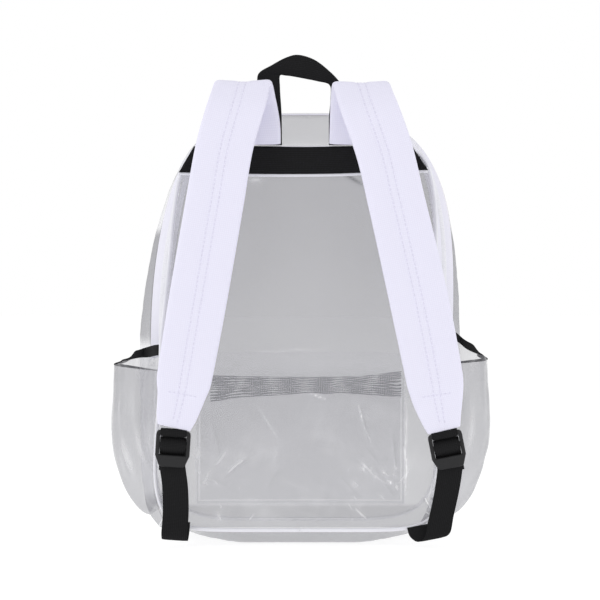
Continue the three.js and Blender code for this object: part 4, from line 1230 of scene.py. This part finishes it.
def pocket_point(pocket, stations, ups, rise=None):
    """Rows of points on a pocket; rise, in millimetres above the film's top, gives the mouth's tape."""
    side = pocket["side"]
    shares = np.linspace(BOTTOM_SHARE, 0.5, 240)
    patch = body(shares if side > 0 else 1 - shares, stations)
    out = normals(patch) * side
    mouth = smooth(list(enumerate(pocket["mouth"])), stations / FRONT)[:, 1] - BINDING_HEIGHT
    depth = (stations - POCKET_ENDS[0]) / (POCKET_ENDS[1] - POCKET_ENDS[0])
    belly = np.sin(np.pi * np.clip(depth, 0, 1)) ** BULGE_POWER
    round_in = (1 - np.maximum(1 - ups / ROUND_SHARE, 0) ** 2) ** ROUND_POWER
    drawn_in = 1 - (1 - MOUTH_SHARE) * ease(ups, MOUTH_FROM, 1)
    rows = []
    for row in range(len(stations)):
        heights = patch[row, :, 2]
        top = np.interp(mouth[row] + (0 if rise is None else rise), heights, shares)
        at = POCKET_FOOT + (top - POCKET_FOOT) * ups
        spot = np.stack([np.interp(at, shares, patch[row, :, axis]) for axis in range(3)], 1)
        lead = np.stack([np.interp(at, shares, out[row, :, axis]) for axis in range(3)], 1)
        rows.append(spot + lead * (CLEARANCE + POCKET_BULGE * belly[row] * round_in * drawn_in)[:, None])
    return np.stack(rows)


pocket_stations = np.linspace(*POCKET_ENDS, POCKET_ROWS)
ups = np.linspace(0, 1, POCKET_UPS)
for number, (side, pocket) in enumerate(POCKETS.items()):
    points = pocket_point(pocket, pocket_stations, ups)
    down, up = np.meshgrid(ups * POCKET_SPAN, np.linspace(0, POCKET_SPAN, POCKET_ROWS))
    belly = np.sin(np.pi * np.linspace(0, 1, POCKET_ROWS))[:, None]
    loose = belly * np.minimum(1, 5 * ups * (1.15 - ups))
    long_row, short_row, streak_row = (
        [(height, size, seed + number)] for height, size, seed in (LONG_WAVES, SHORT_WAVES, STREAKS)
    )
    push = loose * (ripples(down * WAVE_STRETCH, up, long_row) + ripples(down, up, short_row))
    points = points + pocket["side"] * normals(points) * push[..., None]
    piece = dress(grid_piece("film_pocket_" + side, points, film), "clear_film", "side_pocket_" + side)
    streaks = np.maximum(ripples(STREAK_STRETCH * down, up, streak_row), 0)
    add_wear_and_light(piece, STREAK_MILK * streaks)
    declare_sheet(piece, points)
    low = pocket_point(pocket, pocket_stations, np.array([1.0]), 0.0)[:, 0]
    high = pocket_point(pocket, pocket_stations, np.array([1.0]), BINDING_HEIGHT)[:, 0]
    lying = ease(pocket_stations, pocket["lies_at"] - TAPE_TURN, pocket["lies_at"] + TAPE_TURN)
    stand = (1 - (1 - TAPE_LYING) * lying)[:, None]
    inwards = np.array([-pocket["side"] * BINDING_HEIGHT, 0, 0])
    high = low + (high - low) * stand + inwards * belly * (1 - stand)
    lapped = pocket_point(pocket, pocket_stations, np.array([1.0]), -pocket["overlap"])[:, 0]
    low = low + (lapped - low) * (1 - ease(pocket_stations, *OVERLAP_STATIONS))[:, None]
    tape = band_piece("pocket_tape_" + side, low, high, TAPE_THICK, webbing)
    dress(tape, "webbing", "pocket_binding_" + side)

# %% [markdown]
# ## Front pocket and its net
# On the far side a low pocket of film is welded to the front panel, and a strip of net is gathered
# along its mouth. Seen through the bag, the pocket's creases are what the eye finds first: each one
# is a ridge at its own place, with painted light on one flank and painted shade on the other. The
# net is a pleated strip, and its own shader opens the holes.

# %% Front pocket
POCKET = {"left": -112, "right": 112.5, "bottom": 28.5, "top": 191.5, "bulge": 22, "belly": 0.9, "mouth": 11}
POCKET_CREASES = [
    (64, 134, 74, 90, 1.6, 2.6), (98, 106, 103, 62, 2.0, 3.0), (80, 66, 100, 36, 1.6, 2.4),
    (70, 88, 84, 72, 1.4, 2.0), (90, 60, 108, 48, 1.4, 2.2), (-82, 57, -52, 82, 2.0, 2.4),
    (-100, 60, -70, 42, 2.4, 2.0), (-96, 120, -84, 70, 3.0, 1.6), (0, 152, 40, 148, 1.6, 1.6),
    (-40, 40, -20, 70, 3.0, 1.4), (40, 60, 64, 34, 2.0, 1.8), (-70, 150, -40, 100, 5.0, 1.4),
]
# Welds along the pocket's edges, as distances from the edge where film is squeezed clear
HEMS = [(0, 1.6), (4.0, 5.4)]
SEWN_REACH = 12
FRONT_POCKET_RIPPLES = [(1.2, 70, 51)]
CLEAR_MOUTH = (158, 182)
# How strongly a crease's slope is painted: painted light on one flank, painted shade on the other
CREASE_SLOPE_SHADING = 0.3


def front_pocket_y(x, z):
    """The pocket's place in front of the front panel."""
    over = (x - POCKET["left"]) / (POCKET["right"] - POCKET["left"])
    across = np.sin(np.pi * np.clip(over, 0, 1)) ** BULGE_POWER
    up = (z - POCKET["bottom"]) / (POCKET["top"] - POCKET["bottom"])
    swell = np.sin(np.pi * np.minimum(up / POCKET["belly"], 1)) ** BULGE_POWER * (1 - up)
    return front_y(x, z) + CLEARANCE + across * (POCKET["bulge"] * swell + POCKET["mouth"] * up)


x, z = np.meshgrid(
    np.linspace(POCKET["left"], POCKET["right"], 221), np.linspace(POCKET["bottom"], POCKET["top"], 165),
)
edge = np.minimum(np.minimum(x - POCKET["left"], POCKET["right"] - x), z - POCKET["bottom"])
creases = sum(crease(x, z, row) for row in POCKET_CREASES)
waved = ripples(x, z, FRONT_POCKET_RIPPLES) + creases
y = front_pocket_y(x, z) + np.clip(edge / SEWN_REACH, 0, 1) * waved
pocket_points = np.stack([x, y, z], 2)
piece = dress(grid_piece("film_front_pocket", pocket_points, welded_film), "clear_film", "front_pocket")
weld = sum((edge >= low) & (edge <= high) for low, high in HEMS)
# Welds and the mouth clear; the creases' slopes carry painted light and shade
add_wear_and_light(piece, np.maximum(weld, ease(z, *CLEAR_MOUTH)) + CREASE_SLOPE_SHADING * np.gradient(creases, axis=1))
declare_sheet(piece, pocket_points)

# %% Gathered net
NET_EDGES = np.array([(-96, 138, 166.5), (-50, 143, 165), (0, 146, 164.5), (60, 146, 165), (108.5, 143, 171)])
NET_FOLDS = 4
NET_DEPTH = 2.4
NET_LIFT = 1.6
NET_RIPPLES = [(0.16, 46, 81)]
NET_SPAN = 50
PLEAT_SHIFT, PLEAT_LENGTH = 0.7, 31
NET_ROWS, NET_COLUMNS = 49, 190

across = np.linspace(*NET_EDGES[[0, -1], 0], NET_COLUMNS)
low, high = (np.interp(across, NET_EDGES[:, 0], NET_EDGES[:, column]) for column in (1, 2))
share = np.linspace(0, 1, NET_ROWS)[:, None]
x = np.broadcast_to(across, (NET_ROWS, NET_COLUMNS))
sway = ripples(x, NET_SPAN * share + 0 * x, NET_RIPPLES) * np.sin(np.pi * share)
z = low + (high - low) * (share + sway)
pleat = 0.5 - 0.5 * np.cos(2 * np.pi * NET_FOLDS * share + PLEAT_SHIFT * np.sin(across / PLEAT_LENGTH))
y = front_pocket_y(x, z) + NET_LIFT + NET_DEPTH * pleat
net_points = np.stack([x, y, z], 2)
piece = dress(grid_piece("net_gathered", net_points, net), "mesh", "front_pocket_mesh")
declare_sheet(piece, net_points)
